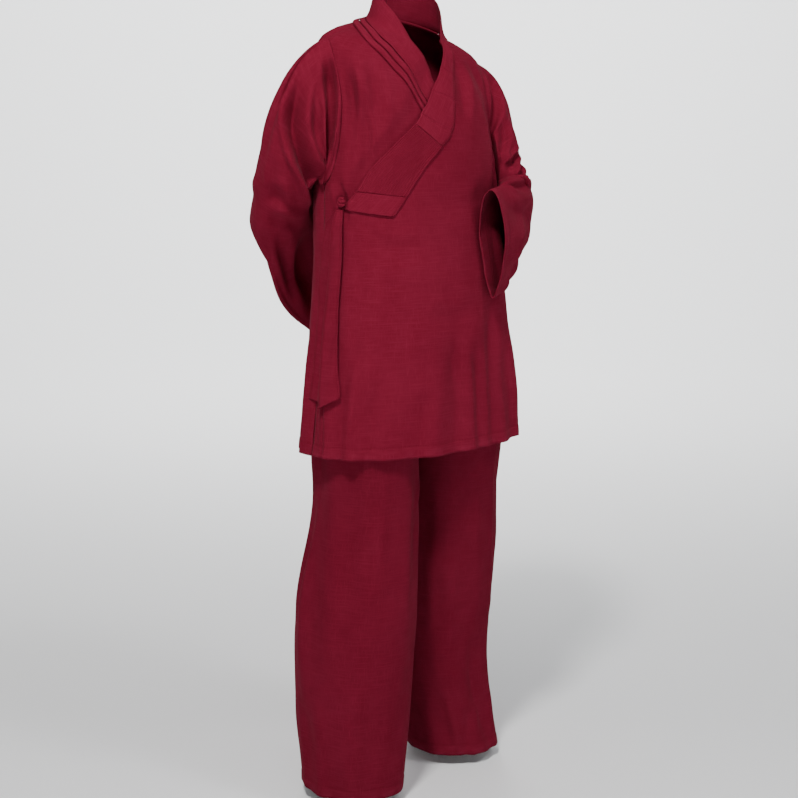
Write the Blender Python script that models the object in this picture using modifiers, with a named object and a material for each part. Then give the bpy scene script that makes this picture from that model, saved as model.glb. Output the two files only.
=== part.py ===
"""Monk's suit: a crossed short gown with wide sleeves over straight wide trousers.

The garment keeps the form it has when worn. Metres, +Z up. The wearer would face -Y, so the
wearer's left is +X. The origin is at the base of the neck, where the wearer holds the gown up.
"""

import math

import bmesh
import bpy
import numpy as np

WALL = 0.0016
SEAM = 0.0004
LAY = 0.0013
CLEAR = 0.007

GOWN_LENGTH = 0.777
COLLAR_STAND = 0.060
TROUSER_TOP = -0.420
TROUSER_HEM = -1.430
CROTCH = -0.745
WAISTBAND_DEPTH = 0.040

CLOTH_COLOUR = (0.205, 0.012, 0.030, 1.0)

# Lengths of cloth that the fold tables count in: metres for a radian of turn round a piece, and
# for one unit of place along it. A leg's places are heights, in metres already.
BODY_ROUND, BODY_RUN = 0.17, 0.10
SLEEVE_ROUND, SLEEVE_RUN = 0.065, 0.085
LEG_ROUND, LEG_RUN = 0.105, 1.0
FOLD_ENDS = 0.35

# One row for each level of the gown, from its hem up to the top of the collar. The wearer's
# left shoulder is held lower than the right one, and the neck slopes down to the front.
BODY_COLUMNS = ("level", "height", "half_width", "front", "back", "middle_x", "middle_y", "square",
                "fall_left", "fall_front")
BODY = (
    (0.0, -GOWN_LENGTH, 0.235, 0.148, 0.146, 0.004, 0.000, 2.15, 0.00, 0.00),
    (1.0, -0.668, 0.225, 0.144, 0.140, 0.004, 0.000, 2.15, 0.00, 0.00),
    (2.0, -0.553, 0.211, 0.137, 0.131, 0.003, 0.000, 2.15, 0.00, 0.00),
    (3.0, -0.438, 0.198, 0.128, 0.123, 0.000, 0.000, 2.20, 0.00, 0.00),
    (4.0, -0.324, 0.190, 0.122, 0.119, -0.004, 0.002, 2.25, 0.00, 0.00),
    (5.0, -0.228, 0.188, 0.119, 0.118, -0.008, 0.004, 2.30, 0.02, 0.00),
    (6.0, -0.152, 0.188, 0.111, 0.110, -0.010, 0.006, 2.30, 0.05, 0.04),
    (7.0, -0.097, 0.188, 0.098, 0.100, -0.011, 0.008, 2.25, 0.08, 0.10),
    (8.0, -0.059, 0.177, 0.084, 0.088, -0.011, 0.008, 2.15, 0.10, 0.18),
    (9.0, -0.034, 0.150, 0.072, 0.078, -0.009, 0.006, 2.05, 0.10, 0.25),
    (10.0, -0.020, 0.110, 0.063, 0.070, -0.006, 0.003, 2.00, 0.10, 0.32),
    (11.0, -0.008, 0.075, 0.056, 0.063, -0.004, 0.002, 2.00, 0.10, 0.36),
    (12.0, 0.025, 0.063, 0.050, 0.059, -0.002, 0.002, 2.00, 0.08, 0.36),
    (13.0, COLLAR_STAND, 0.057, 0.046, 0.055, 0.000, 0.002, 2.00, 0.06, 0.36),
)

# The armhole, as levels of the body and the angle that it opens to either side.
UNDERARM = 4.4
SHOULDER_TIP = 8.4
ARMHOLE_ANGLE = 22.0
ARMHOLE_RAMP = (-0.038, -0.012)
ARMHOLE_SINK = 0.03
ARM_STEPS = 10
NECK_LEVEL = 11.0
FOLD_FADE = (10.5, 8.5)

# Where each front ends across the chest: the over one runs to the wearer's right side, the
# under one stops past the middle.
EDGE_COLUMNS = ("level", "angle")
OVER_EDGE = (
    (0.0, -78.0), (3.4, -78.0), (3.9, -74.0), (4.28, -57.0), (4.62, -47.0), (5.08, -31.0),
    (5.64, -15.5), (5.96, -9.0), (6.32, -4.0), (7.12, 2.0), (7.94, 8.0), (9.5, 18.0), (11.0, 33.0),
)
UNDER_EDGE = (
    (0.0, 40.0), (4.2, 40.0), (4.7, 30.0), (5.2, 18.0), (5.8, 7.0), (6.5, 1.0), (7.16, -2.0),
    (7.9, -3.5), (8.82, -8.5), (10.0, -17.0), (11.0, -33.0),
)

# The collar bands, from the middle of the back round the neck and down the chest. The over one
# goes on as the wide stitched lapel and its plain binding.
COLLAR_COLUMNS = ("station", "free_angle", "free_level", "seam_angle", "seam_level")
OVER_COLLAR = (
    (0.0, 180.0, 13.0, 180.0, 10.85),
    (1.0, 138.0, 13.0, 136.0, 10.85),
    (2.0, 98.0, 12.8, 94.0, 10.85),
    (3.0, 66.0, 12.45, 62.0, 10.75),
    (4.0, 48.0, 11.95, 45.0, 10.45),
    (5.0, 30.0, 11.0, 33.0, 9.9),
    (6.0, 16.0, 9.5, 22.0, 8.6),
    (7.0, 6.0, 7.94, 14.5, 7.4),
    (8.0, 0.5, 7.12, 11.0, 6.7),
    (9.0, -6.0, 6.32, 8.0, 6.1),
    (10.0, -11.0, 5.96, 5.0, 5.55),
    (11.0, -15.5, 5.64, -1.5, 5.12),
    (12.0, -33.0, 5.08, -9.5, 4.78),
    (13.0, -49.5, 4.62, -18.0, 4.44),
    (14.0, -59.0, 4.28, -24.5, 4.18),
    (15.0, -71.5, 3.98, -33.5, 3.86),
)
UNDER_COLLAR = (
    (0.0, -180.0, 13.0, -180.0, 10.85),
    (1.0, -140.0, 13.0, -140.0, 10.85),
    (2.0, -108.0, 12.8, -112.0, 10.85),
    (3.0, -79.0, 12.35, -85.0, 10.75),
    (4.0, -54.0, 11.9, -60.0, 10.30),
    (5.0, -32.0, 11.15, -38.0, 9.45),
    (6.0, -17.0, 10.0, -25.5, 8.6),
    (7.0, -6.5, 8.82, -18.0, 7.9),
    (8.0, -1.0, 7.9, -13.5, 7.4),
    (9.0, 0.0, 7.16, -10.0, 6.9),
    (10.0, 3.0, 6.5, -6.0, 6.35),
    (11.0, 9.0, 5.8, 0.0, 5.6),
    (12.0, 20.0, 5.2, 10.0, 4.85),
)
LAPEL_START = 11.0
BINDING_START = 14.0
BAND_START = 0.01
BAND_CROWDING = 1.35
STATION_GAP = 0.006
QUILT_ROWS = 11
QUILT_RISE = 0.0006

# The two lips that lie beside the under collar, as shares of the collar's own width.
LIP_COLUMNS = ("station", "width")
LIP_WIDTHS = ((0.0, 0.16), (3.0, 0.22), (5.0, 0.30), (10.6, 0.31))
LIP_GAP = 0.02

# The under front sinks below the over one between these angles short of the over front's edge,
# no further round than these, and between these levels.
UNDER_SHORT = (-18.0, -6.0)
UNDER_SIDE = (-84.0, -78.0)
UNDER_NECK = (10.6, 8.2)

# Ribbons of the tie: both edges from the knot to the slanted end, and how far they hang out.
RIBBON_COLUMNS = ("station", "back_angle", "back_level", "front_angle", "front_level", "out")
FRONT_RIBBON = (
    (0.0, -75.6, 3.87, -69.8, 3.87, 0.0095),
    (1.0, -78.0, 3.60, -69.0, 3.60, 0.0100),
    (2.0, -80.0, 3.20, -69.5, 3.20, 0.0085),
    (3.0, -81.0, 2.50, -71.0, 2.50, 0.0075),
    (4.0, -81.5, 1.70, -69.5, 1.72, 0.0090),
    (5.0, -81.0, 0.84, -66.5, 1.04, 0.0080),
)
BACK_RIBBON = (
    (0.0, -76.8, 3.874, -71.4, 3.874, 0.0062),
    (1.0, -87.0, 3.60, -78.5, 3.60, 0.0055),
    (2.0, -92.5, 2.96, -81.0, 2.96, 0.0042),
    (3.0, -92.0, 2.22, -80.5, 2.22, 0.0050),
    (4.0, -93.0, 1.40, -80.0, 1.40, 0.0042),
    (5.0, -94.5, 0.96, -79.0, 0.92, 0.0050),
)
RIBBON_CURL = {"rise": 0.0007, "across": 2.2, "along": 0.7}
KNOT = {"angle": -72.4, "level": 4.004, "out": 0.0081, "wide": 0.0165, "high": 0.028, "deep": 0.013,
        "waist": 0.22, "around": 14, "rings": 9}

# Sleeve rings: centre, the way its top line faces, and the half sizes along and across it.
SLEEVE_COLUMNS = ("station", "x", "y", "z", "top_x", "top_y", "top_z", "along", "across", "pinch")
LEFT_SLEEVE = (
    (0.0, 0.172, 0.004, -0.170, 0.00, 0.00, 1.00, 0.120, 0.040, 0.0),
    (1.0, 0.187, 0.002, -0.202, 0.60, 0.00, 0.75, 0.078, 0.050, 0.0),
    (2.0, 0.204, -0.004, -0.266, 1.00, 0.00, 0.20, 0.054, 0.064, 0.0),
    (3.0, 0.220, -0.030, -0.330, 0.90, -0.40, 0.00, 0.048, 0.078, 0.3),
    (4.0, 0.162, -0.100, -0.378, 0.60, -0.78, 0.00, 0.034, 0.096, 0.4),
    (5.0, 0.078, -0.148, -0.396, 0.60, -0.78, 0.00, 0.026, 0.102, 0.4),
)
RIGHT_SLEEVE = (
    (0.0, -0.190, 0.006, -0.160, 0.00, 0.00, 1.00, 0.120, 0.038, 0.0),
    (1.0, -0.213, 0.032, -0.198, -0.65, 0.05, 0.70, 0.080, 0.052, 0.0),
    (2.0, -0.222, 0.066, -0.260, -0.97, 0.15, 0.00, 0.058, 0.064, 0.0),
    (3.0, -0.202, 0.116, -0.332, -0.75, 0.10, -0.60, 0.072, 0.055, 0.2),
    (4.0, -0.140, 0.172, -0.425, -0.45, 0.00, -0.85, 0.104, 0.036, 0.4),
    (5.0, -0.045, 0.192, -0.492, -0.30, 0.00, -0.95, 0.116, 0.026, 0.4),
)

# How a sleeve leaves its armhole: the armhole's half sizes, how far it runs straight out for a
# station, the station where its own rings take over, and how near the body its seam may lie.
SLEEVE_HEAD = {"deep": 0.041, "high": 0.125, "straight": 0.055, "taken": 1.6, "seated": 0.006, "turned": 0.09}
SLEEVE_TIP_WAY = (1.0, 0.0, -0.25)
UNDERARM_WAY = (1.0, 0.0, -0.35)

# Leg rings. The wearer's left foot stands further back, and its hem falls over the instep.
# Above the crotch a leg is open towards the other one, along the middle of the front and back.
LEG_COLUMNS = ("height", "x", "y", "half_width", "half_depth")
RIGHT_LEG = (
    (TROUSER_TOP, -0.008, 0.002, 0.178, 0.112),
    (-0.540, -0.030, 0.002, 0.162, 0.116),
    (-0.660, -0.070, 0.001, 0.132, 0.117),
    (CROTCH, -0.1010, 0.000, 0.1008, 0.115),
    (-0.880, -0.106, -0.002, 0.097, 0.110),
    (-1.080, -0.131, -0.004, 0.110, 0.127),
    (-1.280, -0.142, -0.008, 0.103, 0.119),
    (TROUSER_HEM, -0.146, -0.010, 0.092, 0.107),
)
LEFT_LEG = (
    (TROUSER_TOP, 0.008, 0.002, 0.178, 0.112),
    (-0.540, 0.030, 0.002, 0.162, 0.116),
    (-0.660, 0.070, 0.003, 0.132, 0.117),
    (CROTCH, 0.1010, 0.005, 0.1008, 0.115),
    (-0.880, 0.102, 0.012, 0.098, 0.110),
    (-1.080, 0.112, 0.046, 0.110, 0.120),
    (-1.260, 0.110, 0.056, 0.098, 0.108),
    (-1.350, 0.124, 0.048, 0.092, 0.102),
    (TROUSER_HEM, 0.138, 0.036, 0.090, 0.102),
)

# The trousers take the waistband's own form over this length below their top.
WAIST_BLEND = (0.10, 0.01)

# Folds, each a soft trough or ridge between two places. On the body a place is an angle and a
# level, on a sleeve a turn and a station, on a leg a turn and a height.
FOLD_COLUMNS = ("from_turn", "from_place", "to_turn", "to_place", "width", "depth")
BODY_FOLDS = (
    (-60.0, 7.8, -59.0, 4.7, 0.022, -0.0108),
    (-40.0, 6.6, -50.0, 4.5, 0.020, -0.0061),
    (-48.0, 7.6, -46.0, 6.2, 0.019, 0.0047),
    (58.0, 8.0, 57.0, 4.7, 0.022, -0.0108),
    (22.0, 8.3, 18.0, 6.0, 0.017, -0.0054),
    (40.0, 8.4, 36.0, 5.6, 0.022, -0.0047),
    (2.0, 2.2, -1.0, 0.0, 0.016, -0.0061),
    (11.0, 1.9, 12.0, 0.0, 0.014, -0.0061),
    (28.0, 2.6, 31.0, 0.0, 0.019, -0.0095),
    (46.0, 2.0, 49.0, 0.0, 0.020, 0.0061),
    (-35.0, 1.6, -38.0, 0.0, 0.031, -0.0047),
    (66.0, 3.2, 70.0, 0.0, 0.022, -0.0068),
    (118.0, 3.4, 114.0, 0.0, 0.023, -0.0081),
    (142.0, 2.6, 146.0, 0.0, 0.022, 0.0068),
    (160.0, 3.2, 163.0, 0.0, 0.025, -0.0074),
    (188.0, 2.2, 190.0, 0.0, 0.022, -0.0068),
    (214.0, 2.8, 208.0, 0.0, 0.026, 0.0068),
    (232.0, 3.0, 236.0, 0.0, 0.020, -0.0081),
    (124.0, 6.8, 160.0, 4.2, 0.020, -0.0061),
    (236.0, 6.8, 200.0, 4.6, 0.020, -0.0061),
    (122.0, 5.6, 140.0, 3.8, 0.019, -0.0054),
)
LEFT_SLEEVE_FOLDS = (
    (95.0, 0.5, 70.0, 2.3, 0.015, -0.0072),
    (45.0, 0.6, 35.0, 2.0, 0.016, -0.0054),
    (110.0, 2.7, 20.0, 2.0, 0.012, -0.0072),
    (110.0, 2.9, 15.0, 2.5, 0.011, -0.0072),
    (105.0, 3.1, 5.0, 3.0, 0.012, -0.0078),
    (250.0, 1.4, 285.0, 2.6, 0.015, -0.0060),
    (215.0, 0.8, 225.0, 2.4, 0.016, -0.0060),
    (320.0, 3.4, 300.0, 4.8, 0.016, -0.0042),
)
RIGHT_SLEEVE_FOLDS = (
    (62.0, 0.3, 48.0, 1.3, 0.016, -0.0081),
    (48.0, 1.3, 96.0, 2.6, 0.014, -0.0081),
    (20.0, 0.5, 12.0, 1.6, 0.017, -0.0050),
    (92.0, 0.4, 84.0, 1.7, 0.016, -0.0069),
    (30.0, 2.5, 60.0, 4.0, 0.017, -0.0056),
    (5.0, 3.0, 30.0, 4.8, 0.017, -0.0050),
    (300.0, 1.2, 320.0, 2.6, 0.017, -0.0063),
    (250.0, 1.0, 262.0, 2.4, 0.016, -0.0063),
)
RIGHT_LEG_FOLDS = (
    (200.0, -0.760, 203.0, -1.120, 0.014, -0.0097),
    (186.0, -0.760, 186.0, -1.250, 0.022, 0.0053),
    (150.0, -0.780, 146.0, -1.180, 0.028, -0.0053),
    (60.0, -0.800, 52.0, -1.050, 0.020, -0.0060),
    (240.0, -0.800, 246.0, -1.200, 0.020, -0.0083),
    (286.0, -0.780, 292.0, -1.150, 0.020, -0.0075),
    (112.0, -1.250, 104.0, -1.430, 0.025, -0.0060),
)
LEFT_LEG_FOLDS = (
    (168.0, -0.800, 162.0, -1.200, 0.018, -0.0075),
    (120.0, -0.780, 126.0, -1.100, 0.020, -0.0067),
    (96.0, -1.200, 104.0, -1.400, 0.017, -0.0090),
    (124.0, -1.180, 130.0, -1.430, 0.018, 0.0090),
    (150.0, -1.260, 152.0, -1.420, 0.017, -0.0090),
    (236.0, -0.800, 230.0, -1.150, 0.020, -0.0083),
    (282.0, -0.800, 276.0, -1.200, 0.020, -0.0075),
)


def smooth_line(keys, values, at):
    """A smooth curve through the values of a table, read at one or many keys."""
    keys = np.asarray(keys, float)
    values = np.asarray(values, float)
    if keys[0] > keys[-1]:
        keys, values = keys[::-1], values[::-1]
    slopes = np.gradient(values, keys)
    at = np.clip(np.asarray(at, float), keys[0], keys[-1])
    low = np.clip(np.searchsorted(keys, at, side="right") - 1, 0, len(keys) - 2)
    span = keys[low + 1] - keys[low]
    t = (at - keys[low]) / span
    start = (2 * t**3 - 3 * t**2 + 1) * values[low] + (t**3 - 2 * t**2 + t) * span * slopes[low]
    end = (3 * t**2 - 2 * t**3) * values[low + 1] + (t**3 - t**2) * span * slopes[low + 1]
    return start + end


def read(columns, rows, name, at):
    """One named column of a table, read smoothly at its first column's values."""
    place = columns.index(name)
    return smooth_line([row[0] for row in rows], [row[place] for row in rows], at)


def ease(low, high, at):
    """Rises from 0 to 1 with soft ends as at goes from low to high."""
    t = np.clip((np.asarray(at, float) - low) / (high - low), 0.0, 1.0)
    return t * t * (3 - 2 * t)


def unit(vectors):
    return vectors / np.maximum(np.linalg.norm(vectors, axis=-1, keepdims=True), 1e-12)


def folds(rows, turn, place, round_size, place_size):
    """How far the cloth stands out or in at a place, from a table of folds."""
    rise = np.zeros(np.broadcast(turn, place).shape)
    for from_turn, from_place, to_turn, to_place, width, depth in rows:
        middle = (from_turn + to_turn) / 2
        near = (np.asarray(turn, float) - middle + 180.0) % 360.0 - 180.0 + middle
        x = np.radians(near - from_turn) * round_size
        y = (place - from_place) * place_size
        run_x = math.radians(to_turn - from_turn) * round_size
        run_y = (to_place - from_place) * place_size
        length = math.hypot(run_x, run_y)
        along = (x * run_x + y * run_y) / length**2
        inside = np.clip(along, 0.0, 1.0)
        aside = np.hypot(x - inside * run_x, y - inside * run_y)
        taper = FOLD_ENDS + (1 - FOLD_ENDS) * np.sin(math.pi * inside)
        rise = rise + depth * taper * np.exp(-((aside / width) ** 2))
    return rise


def body_ring(angle, level):
    """The plain body surface. Angle 0 is the front, 90 the wearer's left, 180 the back."""
    turn = np.radians(angle)
    power = 2.0 / read(BODY_COLUMNS, BODY, "square", level)
    side, ahead = np.sin(turn), np.cos(turn)
    front = read(BODY_COLUMNS, BODY, "front", level)
    back = read(BODY_COLUMNS, BODY, "back", level)
    depth = np.where(ahead > 0, front, back)
    half_width = read(BODY_COLUMNS, BODY, "half_width", level)
    x = half_width * np.sign(side) * np.abs(side) ** power
    y = -depth * np.sign(ahead) * np.abs(ahead) ** power
    x = x + read(BODY_COLUMNS, BODY, "middle_x", level)
    y = y + read(BODY_COLUMNS, BODY, "middle_y", level)
    z = read(BODY_COLUMNS, BODY, "height", level)
    z = z - x * read(BODY_COLUMNS, BODY, "fall_left", level)
    z = z + y * read(BODY_COLUMNS, BODY, "fall_front", level)
    return np.stack([x, y, z], axis=-1)


def body(angle, level, out=0.0):
    """A point of the gown's outer face with its folds, moved out along the way it faces."""
    angle, level = np.broadcast_arrays(np.asarray(angle, float), np.asarray(level, float))
    across = body_ring(angle + 0.5, level) - body_ring(angle - 0.5, level)
    up = body_ring(angle, level + 0.02) - body_ring(angle, level - 0.02)
    facing = unit(np.cross(across, up))
    rise = folds(BODY_FOLDS, angle, level, BODY_ROUND, BODY_RUN) * ease(*FOLD_FADE, level)
    return body_ring(angle, level) + facing * (np.asarray(out, float) + rise)[..., None]


def clear_of_body(points, gap):
    """Moves points that would lie in the body out to its surface and a gap beyond."""
    levels = np.linspace(0.0, 13.0, 400)
    heights = read(BODY_COLUMNS, BODY, "height", levels)
    level = np.interp(points[..., 2], heights, levels)
    for _ in range(3):
        fall = points[..., 0] * read(BODY_COLUMNS, BODY, "fall_left", level)
        fall = fall - points[..., 1] * read(BODY_COLUMNS, BODY, "fall_front", level)
        level = np.interp(points[..., 2] + fall, heights, levels)
    half_width = read(BODY_COLUMNS, BODY, "half_width", level) + gap
    front = read(BODY_COLUMNS, BODY, "front", level) + gap
    back = read(BODY_COLUMNS, BODY, "back", level) + gap
    square = read(BODY_COLUMNS, BODY, "square", level)
    x = points[..., 0] - read(BODY_COLUMNS, BODY, "middle_x", level)
    y = points[..., 1] - read(BODY_COLUMNS, BODY, "middle_y", level)
    depth = np.where(y < 0, front, back)
    # over the armhole there is no cloth to stay clear of, so the form sinks away there
    sideways = np.sign(x) * np.abs(x / half_width) ** (square / 2)
    angle = np.degrees(np.arctan2(sideways, -np.sign(y) * np.abs(y / depth) ** (square / 2)))
    past = np.radians(np.abs(90.0 - np.abs(angle)) - armhole(level)) * depth
    open_here = (1 - ease(*ARMHOLE_RAMP, past)) * (level > UNDERARM)
    half_width = half_width - open_here * (gap + ARMHOLE_SINK)
    depth = depth - open_here * (gap + ARMHOLE_SINK)
    share = (np.abs(x / half_width) ** square + np.abs(y / depth) ** square) ** (1 / square)
    push = np.where(share < 1.0, 1.0 / np.maximum(share, 0.2), 1.0)
    moved = points.copy()
    moved[..., 0] += x * (push - 1.0)
    moved[..., 1] += y * (push - 1.0)
    return moved


def armhole(level):
    """Half the angle that the armhole takes out of the side at a level."""
    f = np.clip((np.asarray(level, float) - UNDERARM) / (SHOULDER_TIP - UNDERARM), 0.0, 1.0)
    return ARMHOLE_ANGLE * np.sqrt(np.sin(math.pi * f))


def angle_of(length, level):
    """The angle that a length takes on the side of the body."""
    return np.degrees(length / read(BODY_COLUMNS, BODY, "front", level))


def body_levels():
    """Levels for a panel's rows, with the armhole's own rows among them."""
    below = np.concatenate([np.linspace(0.0, 3.4, 6), [3.72, 3.96, 4.18]])
    arm = np.linspace(UNDERARM, SHOULDER_TIP, ARM_STEPS + 1)
    above = np.linspace(SHOULDER_TIP, NECK_LEVEL, 9)[1:]
    return np.concatenate([below, arm, above])


def cloth_material(name, shade):
    material = bpy.data.materials.new(name)
    material.use_nodes = True
    finish = material.node_tree.nodes["Principled BSDF"]
    colour = tuple(channel * shade for channel in CLOTH_COLOUR[:3]) + (1.0,)
    finish.inputs["Base Color"].default_value = colour
    finish.inputs["Roughness"].default_value = 0.85
    finish.inputs["Metallic"].default_value = 0.0
    material.diffuse_color = colour
    return material


def add_piece(name, mesh, shade):
    piece = bpy.data.objects.new(name, mesh)
    collection.objects.link(piece)
    mesh.materials.append(cloth_material(name + " cloth", shade))
    return piece


def grid_faces(numbers, closed=False):
    """Quads between the rows and columns of a grid of point numbers."""
    rows, columns = numbers.shape
    faces = []
    for r in range(rows - 1):
        for c in range(columns if closed else columns - 1):
            d = (c + 1) % columns
            faces.append((numbers[r, c], numbers[r, d], numbers[r + 1, d], numbers[r + 1, c]))
    return faces


def mesh_of(name, points, faces):
    """A mesh of the points that the faces use."""
    used = sorted({int(n) for face in faces for n in face})
    place = {n: i for i, n in enumerate(used)}
    flat = points.reshape(-1, 3)
    mesh = bpy.data.meshes.new(name)
    corners = [[place[int(n)] for n in face] for face in faces]
    mesh.from_pydata([tuple(flat[n]) for n in used], [], corners)
    mesh.shade_smooth()
    return mesh


def cloth(name, points, shade=1.0, closed=False, welded_rows=None):
    """One piece of cloth: a grid of outer points, rows by columns, walled towards the inside."""
    numbers = np.arange(points.shape[0] * points.shape[1]).reshape(points.shape[:2])
    if welded_rows is not None:
        numbers[welded_rows, -1] = numbers[welded_rows, 0]
    piece = add_piece(name, mesh_of(name, points, grid_faces(numbers, closed)), shade)
    shell = piece.modifiers.new("wall", "SOLIDIFY")
    shell.thickness = WALL
    shell.offset = -1.0
    shell.use_even_offset = True
    return piece


def make_back():
    levels = body_levels()
    side = (90.0 + armhole(levels) + angle_of(SEAM / 2, levels))[:, None]
    share = np.linspace(0.0, 1.0, 23)[None, :]
    cloth("back", body(side * (1 - share) + (360.0 - side) * share, levels[:, None]))


def make_left_front():
    levels = body_levels()
    side = (90.0 - armhole(levels) - angle_of(SEAM / 2, levels))[:, None]
    edge = read(EDGE_COLUMNS, OVER_EDGE, "angle", levels)[:, None]
    share = np.linspace(0.0, 1.0, 23)[None, :]
    cloth("left_front", body(edge * (1 - share) + side * share, levels[:, None]), 1.05)


def under_out(angle, level):
    """How far the under front lies inside the over one; nothing where it lies open."""
    edge = read(EDGE_COLUMNS, OVER_EDGE, "angle", level)
    start = np.maximum(edge + UNDER_SHORT[0], UNDER_SIDE[0])
    full = np.maximum(edge + UNDER_SHORT[1], UNDER_SIDE[1])
    return -2 * (WALL + LAY) * ease(start, full, angle) * ease(*UNDER_NECK, level)


def make_right_front():
    levels = body_levels()
    side = (-90.0 + armhole(levels) + angle_of(SEAM / 2, levels))[:, None]
    edge = read(EDGE_COLUMNS, UNDER_EDGE, "angle", levels)[:, None]
    share = np.linspace(0.0, 1.0, 18)[None, :]
    angle = side * (1 - share) + edge * share
    cloth("right_front", body(angle, levels[:, None], under_out(angle, levels[:, None])), 0.95)


def collar_places(rows, stations, shares):
    """Angles and levels of a collar band: stations down it, shares from free edge to seam."""
    free_angle = read(COLLAR_COLUMNS, rows, "free_angle", stations)
    free_level = read(COLLAR_COLUMNS, rows, "free_level", stations)
    seam_angle = read(COLLAR_COLUMNS, rows, "seam_angle", stations)
    seam_level = read(COLLAR_COLUMNS, rows, "seam_level", stations)
    angle = free_angle[:, None] * (1 - shares) + seam_angle[:, None] * shares
    level = free_level[:, None] * (1 - shares) + seam_level[:, None] * shares
    return angle, level


def band_stations(end, count):
    """Stations down a collar band, closer together round the neck."""
    return BAND_START + (end - BAND_START) * np.linspace(0.0, 1.0, count) ** BAND_CROWDING


def make_over_collar():
    stations = band_stations(LAPEL_START - STATION_GAP, 30)
    angle, level = collar_places(OVER_COLLAR, stations, np.linspace(0.0, 1.0, 4)[None, :])
    cloth("over_collar", body(angle, level, LAY + WALL)[::-1], 1.1)


def make_under_collar():
    stations = band_stations(UNDER_COLLAR[-1][0], 30)
    angle, level = collar_places(UNDER_COLLAR, stations, np.linspace(0.0, 1.0, 4)[None, :])
    cloth("under_collar", body(angle, level, under_out(angle, level) + LAY + WALL), 1.1)


def make_lip(number):
    """One of the narrow lips, its place counted outwards from the under collar's seam."""
    stations = band_stations(LIP_WIDTHS[-1][0], 30)
    width = read(LIP_COLUMNS, LIP_WIDTHS, "width", stations)[:, None]
    start = 1.0 + (number - 1) * width + LIP_GAP
    shares = start + (width - LIP_GAP) * np.linspace(0.0, 1.0, 3)[None, :]
    angle, level = collar_places(UNDER_COLLAR, stations, shares)
    lift = LAY + WALL
    cloth("collar_lip_%d" % number, body(angle, level, under_out(angle, level) + lift), 1.05)


def make_lapel():
    """The stitched end of the over collar, its channels raised over a plain inside."""
    stations = np.linspace(LAPEL_START + STATION_GAP, BINDING_START - STATION_GAP, 9)
    shares = np.linspace(0.0, 1.0, 2 * QUILT_ROWS + 1)[None, :]
    angle, level = collar_places(OVER_COLLAR, stations, shares)
    puff = QUILT_RISE * np.abs(np.sin(math.pi * QUILT_ROWS * shares))
    outer = body(angle, level, LAY + WALL + puff)[::-1]
    inner = body(angle, level, LAY)[::-1]
    rows, columns = outer.shape[:2]
    top = np.arange(rows * columns).reshape(rows, columns)
    under = top + rows * columns
    rim = np.concatenate([top[0], top[1:, -1], top[-1, -2::-1], top[-2:0:-1, 0]])
    faces = grid_faces(top) + [face[::-1] for face in grid_faces(under)]
    for a, b in zip(rim, np.roll(rim, -1)):
        faces.append((b, a, a + rows * columns, b + rows * columns))
    add_piece("lapel", mesh_of("lapel", np.concatenate([outer, inner]), faces), 1.1)


def make_binding():
    stations = np.linspace(BINDING_START + STATION_GAP, OVER_COLLAR[-1][0], 4)
    angle, level = collar_places(OVER_COLLAR, stations, np.linspace(0.0, 1.0, 11)[None, :])
    cloth("lapel_binding", body(angle, level, LAY + WALL)[::-1], 1.0)


def make_knot():
    """The small knot that draws the two ribbons together."""
    ball = bmesh.new()
    bmesh.ops.create_uvsphere(ball, u_segments=KNOT["around"], v_segments=KNOT["rings"], radius=0.5)
    mesh = bpy.data.meshes.new("tie_knot")
    for point in ball.verts:
        pinch = 1.0 - KNOT["waist"] * math.cos(point.co.z * 2 * math.pi)
        point.co.x *= KNOT["wide"] * pinch
        point.co.y *= KNOT["deep"] * pinch
        point.co.z *= KNOT["high"]
    ball.to_mesh(mesh)
    ball.free()
    mesh.shade_smooth()
    piece = add_piece("tie_knot", mesh, 1.0)
    piece.location = body(KNOT["angle"], KNOT["level"], KNOT["out"])
    piece.rotation_euler = (0.0, 0.0, math.radians(KNOT["angle"]))


def make_ribbon(name, rows, shade):
    stations = np.linspace(0.0, 5.0, 14)
    share = np.linspace(0.0, 1.0, 4)[None, :]

    def column(word):
        return read(RIBBON_COLUMNS, rows, word, stations)[:, None]

    angle = column("back_angle") * (1 - share) + column("front_angle") * share
    level = column("back_level") * (1 - share) + column("front_level") * share
    wave = RIBBON_CURL["across"] * share + RIBBON_CURL["along"] * stations[:, None]
    curl = RIBBON_CURL["rise"] * np.sin(math.pi * wave)
    cloth(name, body(angle, level, column("out") + curl)[::-1], shade)


def armhole_loop(side):
    """The armhole's edge from the shoulder tip down the front and up the back."""
    levels = np.linspace(UNDERARM, SHOULDER_TIP, ARM_STEPS + 1)
    down, up = levels[::-1], levels[1:-1]
    front = side * (90.0 - armhole(down))
    back = side * (90.0 + armhole(up))
    return np.concatenate([front, back]), np.concatenate([down, up])


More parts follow.
